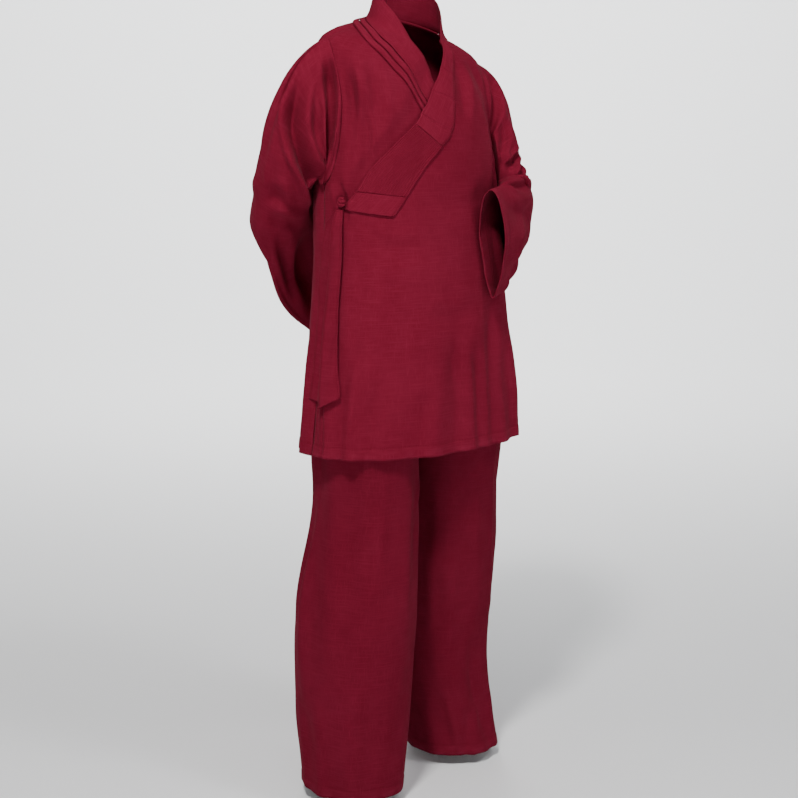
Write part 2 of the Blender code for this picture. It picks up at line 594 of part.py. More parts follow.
def make_sleeve(name, rows, fold_rows, side, shade):
    """A sleeve from the armhole's edge along its rings to an open cuff."""
    angle, level = armhole_loop(side)
    start = body(angle, level)
    step = body(angle - side * 2.0 * np.sign(90.0 - side * angle + 1e-9), level) - start
    outward = unit(-step)
    tip_way, low_way = (unit(np.array(way) * (side, 1, 1)) for way in (SLEEVE_TIP_WAY, UNDERARM_WAY))
    high_share = ease(UNDERARM, SHOULDER_TIP, level)[:, None]
    away = unit(tip_way * high_share + low_way * (1 - high_share))
    deep, high = (start - start.mean(axis=0))[:, 1:].T / [[-SLEEVE_HEAD["deep"]], [SLEEVE_HEAD["high"]]]
    turn = np.arctan2(deep, high)
    stations = np.linspace(0.0, 5.0, 17)

    def column(word):
        return read(SLEEVE_COLUMNS, rows, word, stations)

    middle = np.stack([column("x"), column("y"), column("z")], axis=-1)
    along = unit(np.gradient(middle, stations, axis=0))
    top = unit(np.stack([column("top_x"), column("top_y"), column("top_z")], axis=-1))
    top = unit(top - along * (top * along).sum(axis=-1, keepdims=True))
    ahead = side * np.cross(along, top)
    rise = folds(fold_rows, np.degrees(turn)[None, :], stations[:, None], SLEEVE_ROUND, SLEEVE_RUN)
    along_size = column("along")[:, None] + rise
    across_size = column("across")[:, None] + rise
    rings = (
        middle[:, None]
        + (np.cos(turn)[None, :] * along_size)[..., None] * top[:, None]
        + (np.sin(turn)[None, :] * across_size)[..., None] * ahead[:, None]
    )
    sunk = np.clip((middle[:, None, 2] - rings[..., 2]) / column("across")[:, None], 0.0, 1.0)
    pinched = (sunk * column("pinch")[:, None])[..., None]
    rings[..., :2] += (middle[:, None, :2] - rings[..., :2]) * pinched
    reach = np.minimum(stations, SLEEVE_HEAD["taken"])[:, None, None] * SLEEVE_HEAD["straight"] + SEAM
    # it goes on along the panel's own surface as far as half the opening's width, then straight out
    room = np.maximum(SLEEVE_HEAD["turned"] * np.radians(armhole(level)), 1e-6)[None, :, None]
    turned = room * (1 - np.exp(-reach / room))
    leaving = start[None] + outward[None] * turned + away[None] * (reach - turned)
    taken = ease(0.0, SLEEVE_HEAD["taken"], stations)[:, None, None]
    points = leaving * (1 - taken) + rings * taken
    gap = CLEAR * ease(0.0, 0.5, stations) - SLEEVE_HEAD["seated"] * ease(0.3, 0.0, stations)
    points = clear_of_body(points, gap[:, None])
    if side < 0:
        points = points[:, ::-1]
    cloth(name, points, shade, closed=True)


def waist_out():
    """The waistband's outer face lies just inside the under front's inner one."""
    return -(2 * (WALL + LAY) + WALL + LAY)


def make_leg(name, rows, fold_rows, side):
    """A trouser leg: open above the crotch from front middle to back middle, a tube below it."""
    above = np.linspace(TROUSER_TOP, CROTCH, 7)
    heights = np.concatenate([above, np.linspace(CROTCH, TROUSER_HEM, 12)[1:]])[:, None]

    def column(word):
        return read(LEG_COLUMNS, rows, word, heights)

    inner = np.clip(side * column("x") / column("half_width"), 0.0, 1.0)
    first = np.degrees(np.arccos(inner)) * (heights > CROTCH)
    turn = first + (360.0 - 2 * first) * np.linspace(0.0, 1.0, 29)[None, :]
    rise = folds(fold_rows, turn, heights, LEG_ROUND, LEG_RUN)
    x = column("x") - side * (column("half_width") + rise) * np.cos(np.radians(turn))
    y = column("y") - (column("half_depth") + rise) * np.sin(np.radians(turn))
    x = side * np.maximum(side * x, SEAM / 2)
    points = np.stack([x, y, heights + 0 * x], axis=-1)
    level = np.interp(heights, [row[1] for row in BODY], [row[0] for row in BODY])
    waist = body(side * (turn - 90.0), level, waist_out())
    waist[..., 0] = side * np.maximum(side * waist[..., 0], SEAM / 2)
    waist[..., 2] = heights
    worn = ease(TROUSER_TOP - WAIST_BLEND[0], TROUSER_TOP - WAIST_BLEND[1], heights)[..., None]
    points = points * (1 - worn) + waist * worn
    if side < 0:
        points = points[:, ::-1]
    welded = [r for r, height in enumerate(heights[::-1, 0]) if height < CROTCH + 1e-6]
    cloth(name, points[::-1], welded_rows=welded)


def make_waistband():
    heights = np.linspace(TROUSER_TOP + SEAM, TROUSER_TOP + WAISTBAND_DEPTH, 3)[:, None]
    level = np.interp(heights, [row[1] for row in BODY], [row[0] for row in BODY])
    points = body(np.linspace(0.0, 360.0, 41)[None, :-1], level, waist_out())
    points[..., 2] = heights
    cloth("waistband", points, 0.9, closed=True)


for old in list(bpy.data.objects):
    bpy.data.objects.remove(old, do_unlink=True)
collection = bpy.data.collections.new("monk suit")
bpy.context.scene.collection.children.link(collection)

make_back()
make_right_front()
make_left_front()
make_under_collar()
make_lip(1)
make_lip(2)
make_over_collar()
make_lapel()
make_binding()
make_knot()
make_ribbon("front_ribbon", FRONT_RIBBON, 1.0)
make_ribbon("back_ribbon", BACK_RIBBON, 0.9)
make_sleeve("left_sleeve", LEFT_SLEEVE, LEFT_SLEEVE_FOLDS, 1, 1.1)
make_sleeve("right_sleeve", RIGHT_SLEEVE, RIGHT_SLEEVE_FOLDS, -1, 1.1)
make_leg("right_leg", RIGHT_LEG, RIGHT_LEG_FOLDS, -1)
make_leg("left_leg", LEFT_LEG, LEFT_LEG_FOLDS, 1)
make_waistband()
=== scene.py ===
from functools import partial
import math
import bmesh
import bpy
import numpy as np
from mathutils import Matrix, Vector


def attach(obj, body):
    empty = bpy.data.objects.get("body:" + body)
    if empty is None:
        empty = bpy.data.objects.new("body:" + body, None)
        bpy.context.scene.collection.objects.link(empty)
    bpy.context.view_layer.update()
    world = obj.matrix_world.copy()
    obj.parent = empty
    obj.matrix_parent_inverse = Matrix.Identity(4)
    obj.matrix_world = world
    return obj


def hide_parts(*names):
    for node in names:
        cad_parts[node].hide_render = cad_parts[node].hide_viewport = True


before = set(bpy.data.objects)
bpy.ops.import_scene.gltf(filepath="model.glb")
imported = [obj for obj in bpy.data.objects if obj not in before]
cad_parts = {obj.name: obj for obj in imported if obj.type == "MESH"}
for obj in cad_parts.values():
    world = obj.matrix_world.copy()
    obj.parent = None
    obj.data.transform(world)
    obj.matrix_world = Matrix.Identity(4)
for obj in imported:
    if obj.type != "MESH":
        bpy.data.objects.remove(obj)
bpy.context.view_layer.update()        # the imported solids, kept as the frame

# The plain form of the suit, the same surface that the solids were made on.
# Angle 0 is the front, 90 the wearer's left, 180 the back; level 0 is the gown's hem, 13 the collar's top.
gown = {
    "wall": 0.0016, "seam": 0.0004, "lay": 0.0013, "clear": 0.007,
    "underarm": 4.4, "shoulderTip": 8.4, "armholeAngle": 22.0, "neckLevel": 11.0,
    "cell": 0.0045, "armholeRamp": (-0.034, -0.008), "armholeDip": 0.0075, "hemBand": 0.022,
    "armholeRoom": 0.03, "hemThick": 0.0007, "hemGroove": 0.0009, "hemGrooveWidth": 0.0026,
}
bodyColumns = (
    "level", "height", "halfWidth", "front", "back", "middleX", "middleY", "square", "fallLeft", "fallFront",
)
bodyRows = (
    (0, -0.777, 0.235, 0.148, 0.146, 0.004, 0, 2.15, 0, 0), (1, -0.668, 0.225, 0.144, 0.14, 0.004, 0, 2.15, 0, 0),
    (2, -0.553, 0.211, 0.137, 0.131, 0.003, 0, 2.15, 0, 0), (3, -0.438, 0.198, 0.128, 0.123, 0, 0, 2.2, 0, 0),
    (4, -0.324, 0.19, 0.122, 0.119, -0.004, 0.002, 2.25, 0, 0),
    (5, -0.228, 0.188, 0.119, 0.118, -0.008, 0.004, 2.3, 0.02, 0),
    (6, -0.152, 0.188, 0.111, 0.11, -0.01, 0.006, 2.3, 0.05, 0.04),
    (7, -0.097, 0.188, 0.098, 0.1, -0.011, 0.008, 2.25, 0.08, 0.1),
    (8, -0.059, 0.177, 0.084, 0.088, -0.011, 0.008, 2.15, 0.1, 0.18),
    (9, -0.034, 0.15, 0.072, 0.078, -0.009, 0.006, 2.05, 0.1, 0.25),
    (10, -0.02, 0.11, 0.063, 0.07, -0.006, 0.003, 2, 0.1, 0.32),
    (11, -0.008, 0.075, 0.056, 0.063, -0.004, 0.002, 2, 0.1, 0.36),
    (12, 0.025, 0.063, 0.05, 0.059, -0.002, 0.002, 2, 0.08, 0.36),
    (13, 0.06, 0.057, 0.046, 0.055, 0, 0.002, 2, 0.06, 0.36),
)
overEdge = (
    (0, -78), (3.4, -78), (3.9, -74), (4.28, -57), (4.62, -47), (5.08, -31), (5.64, -15.5), (5.96, -9), (6.32, -4),
    (7.12, 2), (7.94, 8), (9.5, 18), (11, 33),
)
underEdge = (
    (0, 40), (4.2, 40), (4.7, 30), (5.2, 18), (5.8, 7), (6.5, 1), (7.16, -2), (7.9, -3.5), (8.82, -8.5), (10, -17),
    (11, -33),
)


def smoothLine(keys, values, at):
    keys = np.asarray(keys, float)
    values = np.asarray(values, float)
    if keys[0] > keys[-1]:
        keys, values = keys[::-1], values[::-1]
    slopes = np.gradient(values, keys)
    at = np.clip(np.asarray(at, float), keys[0], keys[-1])
    low = np.clip(np.searchsorted(keys, at, side="right") - 1, 0, len(keys) - 2)
    span = keys[low + 1] - keys[low]
    t = (at - keys[low]) / span
    start = (2 * t**3 - 3 * t**2 + 1) * values[low] + (t**3 - 2 * t**2 + t) * span * slopes[low]
    end = (3 * t**2 - 2 * t**3) * values[low + 1] + (t**3 - t**2) * span * slopes[low + 1]
    return start + end


def column(names, rows, name, at):
    place = names.index(name)
    return smoothLine([row[0] for row in rows], [row[place] for row in rows], at)


def body(name, level):
    # one measure of the gown's plain form at a level
    return column(bodyColumns, bodyRows, name, level)


def ease(low, high, at):
    t = np.clip((np.asarray(at, float) - low) / (high - low), 0.0, 1.0)
    return t * t * (3 - 2 * t)


def bell(away, width):
    return np.exp(-((away / width) ** 2))


def travel(points):
    # the running length along a row of points
    return np.concatenate([[0], np.cumsum(np.linalg.norm(np.diff(points, axis=0), axis=1))])


def unit(vectors):
    return vectors / np.maximum(np.linalg.norm(vectors, axis=-1, keepdims=True), 1e-12)


def largeFolds(rows, turn, place, roundSize, placeSize):
    # straight soft folds, each from a turn and place to another, with its width and its depth
    rise = np.zeros(np.broadcast(turn, place).shape)
    for fromTurn, fromPlace, toTurn, toPlace, width, depth in rows:
        width, depth = width / 1000, depth / 1000
        middle = (fromTurn + toTurn) / 2
        near = (np.asarray(turn, float) - middle + 180.0) % 360.0 - 180.0 + middle
        x = np.radians(near - fromTurn) * roundSize
        y = (place - fromPlace) * placeSize
        runX = math.radians(toTurn - fromTurn) * roundSize
        runY = (toPlace - fromPlace) * placeSize
        length = math.hypot(runX, runY)
        inside = np.clip((x * runX + y * runY) / length**2, 0.0, 1.0)
        aside = np.hypot(x - inside * runX, y - inside * runY)
        rise = rise + depth * (0.35 + 0.65 * np.sin(math.pi * inside)) * bell(aside, width)
    return rise


def bodyRing(angle, level):
    turn = np.radians(angle)
    power = 2.0 / body("square", level)
    side, ahead = np.sin(turn), np.cos(turn)
    depth = np.where(ahead > 0, body("front", level), body("back", level))
    x = body("halfWidth", level) * np.sign(side) * np.abs(side) ** power
    y = -depth * np.sign(ahead) * np.abs(ahead) ** power
    x = x + body("middleX", level)
    y = y + body("middleY", level)
    z = body("height", level)
    z = z - x * body("fallLeft", level) + y * body("fallFront", level)
    return np.stack([x, y, z], axis=-1)


# Every crease: a valley, wider on one hand, between two low ridges, tapered where its end isn't open.
crease = {
    "pieces": 6, "strength": 1.3, "lean": 0.25, "wider": 1.4, "ridge": 0.42, "ridgeAt": 1.75, "ridgeWidth": 0.75,
    "reach": 4.5, "startTaper": 0.34, "endTaper": 0.62,
}


def softNoise(x, y, seed):
    # smooth random field over a wrapped lattice, about -1 to 1, one cell per unit of x and y
    grid = np.random.default_rng(seed).uniform(-1, 1, (64, 64))
    x, y = np.broadcast_arrays(np.asarray(x, float), np.asarray(y, float))
    i, j = np.floor(x).astype(int), np.floor(y).astype(int)
    fx, fy = x - i, y - j
    fx, fy = fx**3 * (fx * (fx * 6 - 15) + 10), fy**3 * (fy * (fy * 6 - 15) + 10)
    a, b = grid[j % 64, i % 64], grid[j % 64, (i + 1) % 64]
    c, d = grid[(j + 1) % 64, i % 64], grid[(j + 1) % 64, (i + 1) % 64]
    return (a * (1 - fx) + b * fx) * (1 - fy) + (c * (1 - fx) + d * fx) * fy


def smoothPath(points):
    # a rounded line through a few points
    points = np.asarray(points, float)
    keys = np.arange(len(points))
    at = np.linspace(0, len(points) - 1, (len(points) - 1) * crease["pieces"] + 1)
    return np.stack([smoothLine(keys, points[:, 0], at), smoothLine(keys, points[:, 1], at)], axis=-1)


def creases(rows, u, v, turnSize, placeOf, strength=crease["strength"]):
    # u in degrees round the piece, v along it; each row is width, depth, which ends stay open, then its points
    rise = np.zeros(np.broadcast(u, v).shape)
    y = placeOf(np.asarray(v, float)) + 0 * rise
    for width, depth, ends, *flat in rows:
        width, depth = width / 1000, depth / 1000
        points = list(zip(flat[::2], flat[1::2]))
        middle = points[len(points) // 2][0]
        near = (np.asarray(u, float) - middle + 180.0) % 360.0 - 180.0 + middle
        x = np.radians(near) * turnSize + 0 * rise
        line = smoothPath([(math.radians(a) * turnSize, float(placeOf(b))) for a, b in points])
        steps = np.hypot(*np.diff(line, axis=0).T)
        travelled = np.concatenate([[0], np.cumsum(steps)])
        reach = crease["reach"] * width
        touched = (
            (x > line[:, 0].min() - reach) & (x < line[:, 0].max() + reach)
            & (y > line[:, 1].min() - reach) & (y < line[:, 1].max() + reach)
        )
        if not touched.any():
            continue
        px, py = x[touched], y[touched]
        best = np.full(px.shape, 1e9)
        along = np.zeros(px.shape)
        hand = np.ones(px.shape)
        for k, (a, b) in enumerate(zip(line[:-1], line[1:])):
            run = b - a
            length = max(float(run @ run), 1e-12)
            t = np.clip(((px - a[0]) * run[0] + (py - a[1]) * run[1]) / length, 0, 1)
            dx, dy = px - a[0] - t * run[0], py - a[1] - t * run[1]
            d = np.hypot(dx, dy)
            closer = d < best
            best = np.where(closer, d, best)
            along = np.where(closer, (travelled[k] + t * steps[k]) / travelled[-1], along)
            hand = np.where(closer, np.sign(dx * run[1] - dy * run[0]), hand)
        taper = np.ones(px.shape)
        if "s" not in ends:
            taper = taper * ease(0.0, crease["startTaper"], along)
        if "e" not in ends:
            taper = taper * ease(1.0, crease["endTaper"], along)
        s = best / (crease["wider"] * width * (1 + crease["lean"] * hand))
        ridge = crease["ridge"] * bell(s - crease["ridgeAt"], crease["ridgeWidth"])
        rise[touched] += strength * depth * taper * (bell(s, 1.0) - ridge)
    return rise


# Folds and creases of the gown: large soft ones first, as on the solids, then the finer ones.
# A large one: its turn and level at both ends, width, depth. A fine one: width, depth, open ends, its points.
# Widths and depths are in millimetres.
gownFolds = {
    "large": (
        (-60, 7.8, -59, 4.7, 22, -10.8), (-40, 6.6, -50, 4.5, 20, -6.1), (-48, 7.6, -46, 6.2, 19, 4.7),
        (58, 8, 57, 4.7, 22, -10.8), (22, 8.3, 18, 6, 17, -4), (40, 8.4, 36, 5.6, 22, -4.7),
        (2, 2.2, -1, 0, 16, -6.1), (11, 1.9, 12, 0, 14, -6.1), (28, 2.6, 31, 0, 19, -9.5), (46, 2, 49, 0, 20, 6.1),
        (-35, 1.6, -38, 0, 31, -4.7), (66, 3.2, 70, 0, 22, -6.8), (118, 3.4, 114, 0, 23, -8.1),
        (142, 2.6, 146, 0, 22, 6.8), (160, 3.2, 163, 0, 25, -7.4), (188, 2.2, 190, 0, 22, -6.8),
        (214, 2.8, 208, 0, 26, 6.8), (232, 3, 236, 0, 20, -8.1), (124, 6.8, 160, 4.2, 20, -6.1),
        (236, 6.8, 200, 4.6, 20, -6.1), (122, 5.6, 140, 3.8, 19, -5.4),
    ),
    "fine": (
        (8, -4.2, "", -57, 7.4, -56, 6.5, -58, 5.4), (8, -3.4, "", -50, 6.4, -48.5, 5.4, -50.5, 4.5),
        (12, -3.4, "", -42, 8.4, -39, 7.3, -37, 6.3, -42, 5.4), (13, -1.8, "", -28, 8.8, -25, 7.6, -24, 6.8),
        (8, -4.4, "", -76, 4.6, -71, 4.2, -68, 3.7), (12, -3.4, "", 27, 9, 22, 7.6, 17, 6.4, 13, 5.6),
        (12, -4.4, "", 38, 8.9, 44, 7.6, 48, 6.4, 52, 5.2), (11, -3.4, "", 64, 5.4, 54, 4.6, 44, 3.9),
        (10, -3.2, "", 70, 4.6, 62, 3.9, 58, 2.9), (13, -1.6, "", -60, 3.7, -35, 3.35, -8, 3.5),
        (12, -2, "", 18, 3.4, 42, 3.1, 62, 3.4), (14, -1.4, "", -32, 2.5, -4, 2.25, 26, 2.5),
        (14, -1.4, "", -14, 4.3, 10, 4, 38, 4.4), (10, -4.2, "e", 0, 2, 0, 0.9, -0.5, 0),
        (7, -3, "e", 5.5, 1.6, 5, 0.9, 5, 0), (9, -4.2, "e", 13, 2, 13.5, 0.9, 12.5, 0),
        (14, -5.6, "e", 28, 2.5, 24, 1.3, 22, 0), (11, -4.8, "e", 40, 1.8, 43, 0.8, 45, 0),
        (13, -3.4, "e", -19, 1.1, -21, 0.5, -22, 0), (12, -3.4, "e", -45, 1.4, -47, 0.7, -47, 0),
        (10, -4, "e", -63, 1.8, -66, 0.9, -66, 0), (12, -4.4, "e", -86, 3.2, -88, 1.8, -87, 0),
        (12, -5, "e", 76, 3, 78, 1.6, 80, 0), (10, -4, "e", 60, 2.2, 61, 1.1, 60, 0),
        (10, -3.6, "", 118, 7, 138, 5.9, 166, 5.3), (10, -3.6, "", 242, 7, 222, 5.9, 196, 5.2),
        (9, -3.2, "", 116, 5.6, 132, 4.6, 150, 4.2), (10, -3.2, "", 244, 5.4, 230, 4.5, 208, 4.2),
        (10, -2.2, "", 150, 8.8, 154, 7.5, 158, 6.4), (11, -2, "", 182, 9.4, 180, 8, 178, 6.5),
        (9, -2.4, "", 212, 8.8, 206, 7.6, 204, 6.6), (10, -5, "e", 104, 3, 106, 1.6, 104, 0),
        (12, -6, "e", 130, 2.5, 128, 1.2, 127, 0), (10, -4.4, "e", 154, 2, 157, 1, 158, 0),
        (11, -5, "e", 176, 1.7, 179, 0.8, 181, 0), (12, -6, "e", 200, 2.3, 203, 1.1, 203, 0),
        (10, -5, "e", 226, 2.9, 223, 1.4, 224, 0), (11, -5, "e", 250, 2.1, 252, 1, 251, 0),
        (14, -2, "", 140, 3.6, 176, 3.2, 214, 3.7),
    ),
    "rumple": 0.0014, "turnSize": 0.17, "levelSize": 0.10,
}
levelKeys = np.linspace(0.0, 13.0, 261)
levelLengths = travel(bodyRing(np.zeros(261), levelKeys))


def upLength(level):
    return np.interp(level, levelKeys, levelLengths)


def bodyPoint(angle, level, out=0.0):
    angle, level = np.broadcast_arrays(np.asarray(angle, float), np.asarray(level, float))
    across = bodyRing(angle + 0.5, level) - bodyRing(angle - 0.5, level)
    up = bodyRing(angle, level + 0.02) - bodyRing(angle, level - 0.02)
    facing = unit(np.cross(across, up))
    turnSize = gownFolds["turnSize"]
    rise = largeFolds(gownFolds["large"], angle, level, turnSize, gownFolds["levelSize"])
    rise = rise + creases(gownFolds["fine"], angle, level, turnSize, upLength)
    x, y = np.radians(angle) * turnSize, upLength(level)
    rumple = softNoise(x / 0.045 + 9, y / 0.11, 3) + 0.45 * softNoise(x / 0.020, y / 0.045 + 5, 4)
    wrap = ease(-175.0, -150.0, angle) * ease(360.0, 335.0, angle)
    rise = rise + gownFolds["rumple"] * rumple * wrap
    rise = rise * ease(10.5, 8.5, level)
    return bodyRing(angle, level) + facing * (np.asarray(out, float) + rise)[..., None]


def clearOfBody(points, gap):
    # whatever would lie in the gown is moved out to its surface and a gap beyond
    levels = np.linspace(0.0, 13.0, 400)
    heights = body("height", levels)
    level = np.interp(points[..., 2], heights, levels)
    for _ in range(3):
        fall = points[..., 0] * body("fallLeft", level)
        fall = fall - points[..., 1] * body("fallFront", level)
        level = np.interp(points[..., 2] + fall, heights, levels)
    halfWidth = body("halfWidth", level) + gap
    square = body("square", level)
    x = points[..., 0] - body("middleX", level)
    y = points[..., 1] - body("middleY", level)
    front = body("front", level) + gap
    back = body("back", level) + gap
    depth = np.where(y < 0, front, back)
    # over the armhole there is no cloth to stay clear of
    sideways = np.sign(x) * np.abs(x / halfWidth) ** (square / 2)
    angle = np.degrees(np.arctan2(sideways, -np.sign(y) * np.abs(y / depth) ** (square / 2)))
    past = np.radians(np.abs(90.0 - np.abs(angle)) - armholeAngle(level)) * depth
    covered = np.where(level > gown["underarm"], ease(*gown["armholeRamp"], past), 1.0)
    halfWidth, depth = [size - (1 - covered) * (gap + gown["armholeRoom"]) for size in (halfWidth, depth)]
    share = (np.abs(x / halfWidth) ** square + np.abs(y / depth) ** square) ** (1 / square)
    push = np.where(share < 1.0, 1.0 / np.maximum(share, 0.2), 1.0)
    moved = points.copy()
    moved[..., 0] += x * (push - 1.0)
    moved[..., 1] += y * (push - 1.0)
    return moved


def armholeAngle(level):
    under, tip = gown["underarm"], gown["shoulderTip"]
    f = np.clip((np.asarray(level, float) - under) / (tip - under), 0.0, 1.0)
    return gown["armholeAngle"] * np.sqrt(np.sin(math.pi * f))


def angleOf(length, level):
    return np.degrees(length / body("front", level))


def underOut(angle, level):
    # the under front lies inside the over one, but not where it lies open
    edge = smoothLine([row[0] for row in overEdge], [row[1] for row in overEdge], level)
    start, full = np.maximum(edge - 18.0, -84.0), np.maximum(edge - 6.0, -78.0)
    return -2 * (gown["wall"] + gown["lay"]) * ease(start, full, angle) * ease(10.6, 8.2, level)


def clothPiece(name, points, uv, stitch=None, closed=False, weldedRows=None):
    # a grid of outer points, rows by columns, with its cloth coordinates in metres, walled inwards
    rows, columns = points.shape[:2]
    numbers = np.arange(rows * columns).reshape(rows, columns)
    if weldedRows is not None:
        numbers[weldedRows, -1] = numbers[weldedRows, 0]
    spans = columns if closed else columns - 1
    r, c = [a.ravel() for a in np.meshgrid(np.arange(rows - 1), np.arange(spans), indexing="ij")]
    d = (c + 1) % columns
    corners = np.stack([numbers[r, c], numbers[r, d], numbers[r + 1, d], numbers[r + 1, c]], axis=1)
    used, corners = np.unique(corners, return_inverse=True)
    corners = corners.reshape(-1, 4)
    mesh = bpy.data.meshes.new(name)
    mesh.from_pydata(points.reshape(-1, 3)[used].tolist(), [], corners.tolist())
    for layer, grid in (("cloth", uv), ("stitch", stitch)):
        if grid is None:
            grid = np.full(uv.shape, 9.0)
        placed = np.stack([grid[r, c], grid[r, c + 1], grid[r + 1, c + 1], grid[r + 1, c]], axis=1)
        mesh.uv_layers.new(name=layer).data.foreach_set("uv", placed.astype(np.float32).ravel())
    mesh.uv_layers["cloth"].active = True
    mesh.uv_layers["cloth"].active_render = True
    mesh.shade_smooth()
    piece = bpy.data.objects.new(name, mesh)
    bpy.context.scene.collection.objects.link(piece)
    shell = piece.modifiers.new("wall", "SOLIDIFY")
    shell.thickness = gown["wall"]
    shell.offset = -1.0
    shell.use_quality_normals = True
    print("made", name, len(corners), "quads")
    return piece


def hemRise(distance):
    # the turned hem: thicker up to its stitch line, with a shallow groove there
    wide = gown["hemBand"]
    thick = gown["hemThick"] * ease(wide + 0.003, wide - 0.001, distance)
    return thick - gown["hemGroove"] * bell(distance - wide, gown["hemGrooveWidth"])


def wear(piece, nodes, material):
    # each piece takes the place of its solid and rides on the one body
    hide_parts(*nodes)
    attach(piece, "root")
    piece.data.materials.append(material)
    return piece


def feed(tree, slot, part):
    # a number or a colour is set on the socket itself, an output is linked to it
    if isinstance(part, (int, float, tuple)):
        slot.default_value = part
    else:
        tree.links.new(part, slot)


def maths(tree, what, *parts):
    # one sum of a node tree; each part is a number or a socket
    node = tree.nodes.new("ShaderNodeMath")
    node.operation = what
    for slot, part in zip(node.inputs, parts):
        feed(tree, slot, part)
    return node.outputs[0]


def sums(tree):
    # the four that are used most, each for this one tree
    return [partial(maths, tree, what) for what in ("MULTIPLY", "ADD", "SUBTRACT", "ABSOLUTE")]


def softStep(tree, value, low, high):
    node = tree.nodes.new("ShaderNodeMapRange")
    node.interpolation_type = "SMOOTHSTEP"
    for slot, part in zip(node.inputs, (value, low, high, 0.0, 1.0)):
        feed(tree, slot, part)
    return node.outputs[0]


def mixColour(tree, share, first, second):
    node = tree.nodes.new("ShaderNodeMix")
    node.data_type = "RGBA"
    for place, part in ((0, share), (6, first), (7, second)):
        feed(tree, node.inputs[place], part)
    return node.outputs[2]


def parted(tree, vector):
    node = tree.nodes.new("ShaderNodeSeparateXYZ")
    tree.links.new(vector, node.inputs[0])
    return node.outputs


def streaks(tree, place, acrossScale, alongScale, detail, seed):
    # noise drawn out along one thread direction
    across = parted(tree, place)
    joined = tree.nodes.new("ShaderNodeCombineXYZ")
    feed(tree, joined.inputs[0], maths(tree, "MULTIPLY", across[0], acrossScale))
    feed(tree, joined.inputs[1], maths(tree, "MULTIPLY", across[1], alongScale))
    joined.inputs[2].default_value = seed
    noise = tree.nodes.new("ShaderNodeTexNoise")
    noise.inputs["Scale"].default_value = 1.0
    noise.inputs["Detail"].default_value = detail
    noise.inputs["Roughness"].default_value = 0.55
    feed(tree, noise.inputs["Vector"], joined.outputs[0])
    return noise.outputs[0]


# Each kind of unevenness: scales across and along the cloth, detail and seed, then where it starts and is full.
unevenness = {
    "warpSlub": (900.0, 60.0, 2.0, 1.7, 0.46, 0.74), "weftSlub": (24.0, 430.0, 3.0, 4.1, 0.38, 0.78),
    "clouds": (7.0, 4.5, 3.0, 2.9, 0.30, 0.72), "small": (46.0, 30.0, 2.0, 5.5, 0.30, 0.75),
    "rubbed": (60.0, 60.0, 3.0, 8.8, 0.40, 0.70),
}


def uneven(tree, place, kind):
    *form, low, high = unevenness[kind]
    return softStep(tree, streaks(tree, place, *form), low, high)


def shaderGroup(name, inputs, outputs):
    # a node group with its sockets; hands back the sockets to read from and those to fill
    group = bpy.data.node_groups.new(name, "ShaderNodeTree")
    for title, kind, *value in inputs:
        made = group.interface.new_socket(name=title, in_out="INPUT", socket_type="NodeSocket" + kind)
        if value:
            made.default_value = value[0]
    for title, kind in outputs:
        group.interface.new_socket(name=title, in_out="OUTPUT", socket_type="NodeSocket" + kind)
    return group, group.nodes.new("NodeGroupInput").outputs, group.nodes.new("NodeGroupOutput").inputs


def linenWeave():
    # plain weave of uneven yarn: warp and weft threads, thicker slubs and a dye that took unevenly
    inputs = (
        ("Cloth Place", "Vector"), ("Body Colour", "Color", (0.2, 0.01, 0.03, 1)),
        ("Thread Colour", "Color", (0.3, 0.03, 0.06, 1)), ("Threads Per Metre", "Float", 900.0),
        ("Slubs", "Float", 0.5), ("Uneven Dye", "Float", 0.3),
    )
    outputs = (("Colour", "Color"), ("Height", "Float"), ("Roughness", "Float"))
    group, given, made = shaderGroup("linenWeave", inputs, outputs)
    times, plus, minus, size = sums(group)
    place = given["Cloth Place"]
    turns = times(given["Threads Per Metre"], math.pi)
    waves = [maths(group, "SINE", times(way, turns)) for way in parted(group, place)[:2]]
    warp, weft = [size(wave) for wave in waves]
    crossing = maths(group, "MULTIPLY_ADD", times(*waves), 0.5, 0.5)
    knit = plus(times(warp, crossing), times(weft, minus(1.0, crossing)))
    thick = maths(group, "MAXIMUM", uneven(group, place, "warpSlub"), uneven(group, place, "weftSlub"))
    slub = times(thick, given["Slubs"])
    fibre = streaks(group, place, 950.0, 950.0, 3.0, 7.3)
    grain = plus(times(knit, 0.30), times(fibre, 0.42))
    feed(group, made["Height"], plus(times(knit, 0.55), slub))
    dye = plus(times(uneven(group, place, "clouds"), 0.65), times(uneven(group, place, "small"), 0.35))
    dye = times(minus(dye, 0.5), given["Uneven Dye"])
    share = plus(plus(grain, slub), dye)
    feed(group, made["Colour"], mixColour(group, share, given["Body Colour"], given["Thread Colour"]))
    feed(group, made["Roughness"], minus(0.93, times(slub, 0.12)))
    return group


def stitchRow():
    # a running row of machine stitches: x is the length along it, y the distance from it
    inputs = (("Row Place", "Vector"), ("Stitch Length", "Float", 0.0032), ("Thread Width", "Float", 0.0005))
    group, given, made = shaderGroup("stitchRow", inputs, (("Thread", "Float"), ("Dip", "Float")))
    times, _, minus, size = sums(group)
    along, aside = parted(group, given["Row Place"])[:2]
    aside = size(aside)
    run = maths(group, "FRACT", maths(group, "DIVIDE", along, given["Stitch Length"]))
    onThread = minus(1.0, softStep(group, size(minus(run, 0.5)), 0.30, 0.40))
    width = given["Thread Width"]
    onRow = minus(1.0, softStep(group, aside, times(width, 0.6), width))
    feed(group, made["Thread"], times(onThread, onRow))
    feed(group, made["Dip"], minus(1.0, softStep(group, aside, 0.0, times(width, 4.0))))
    return group


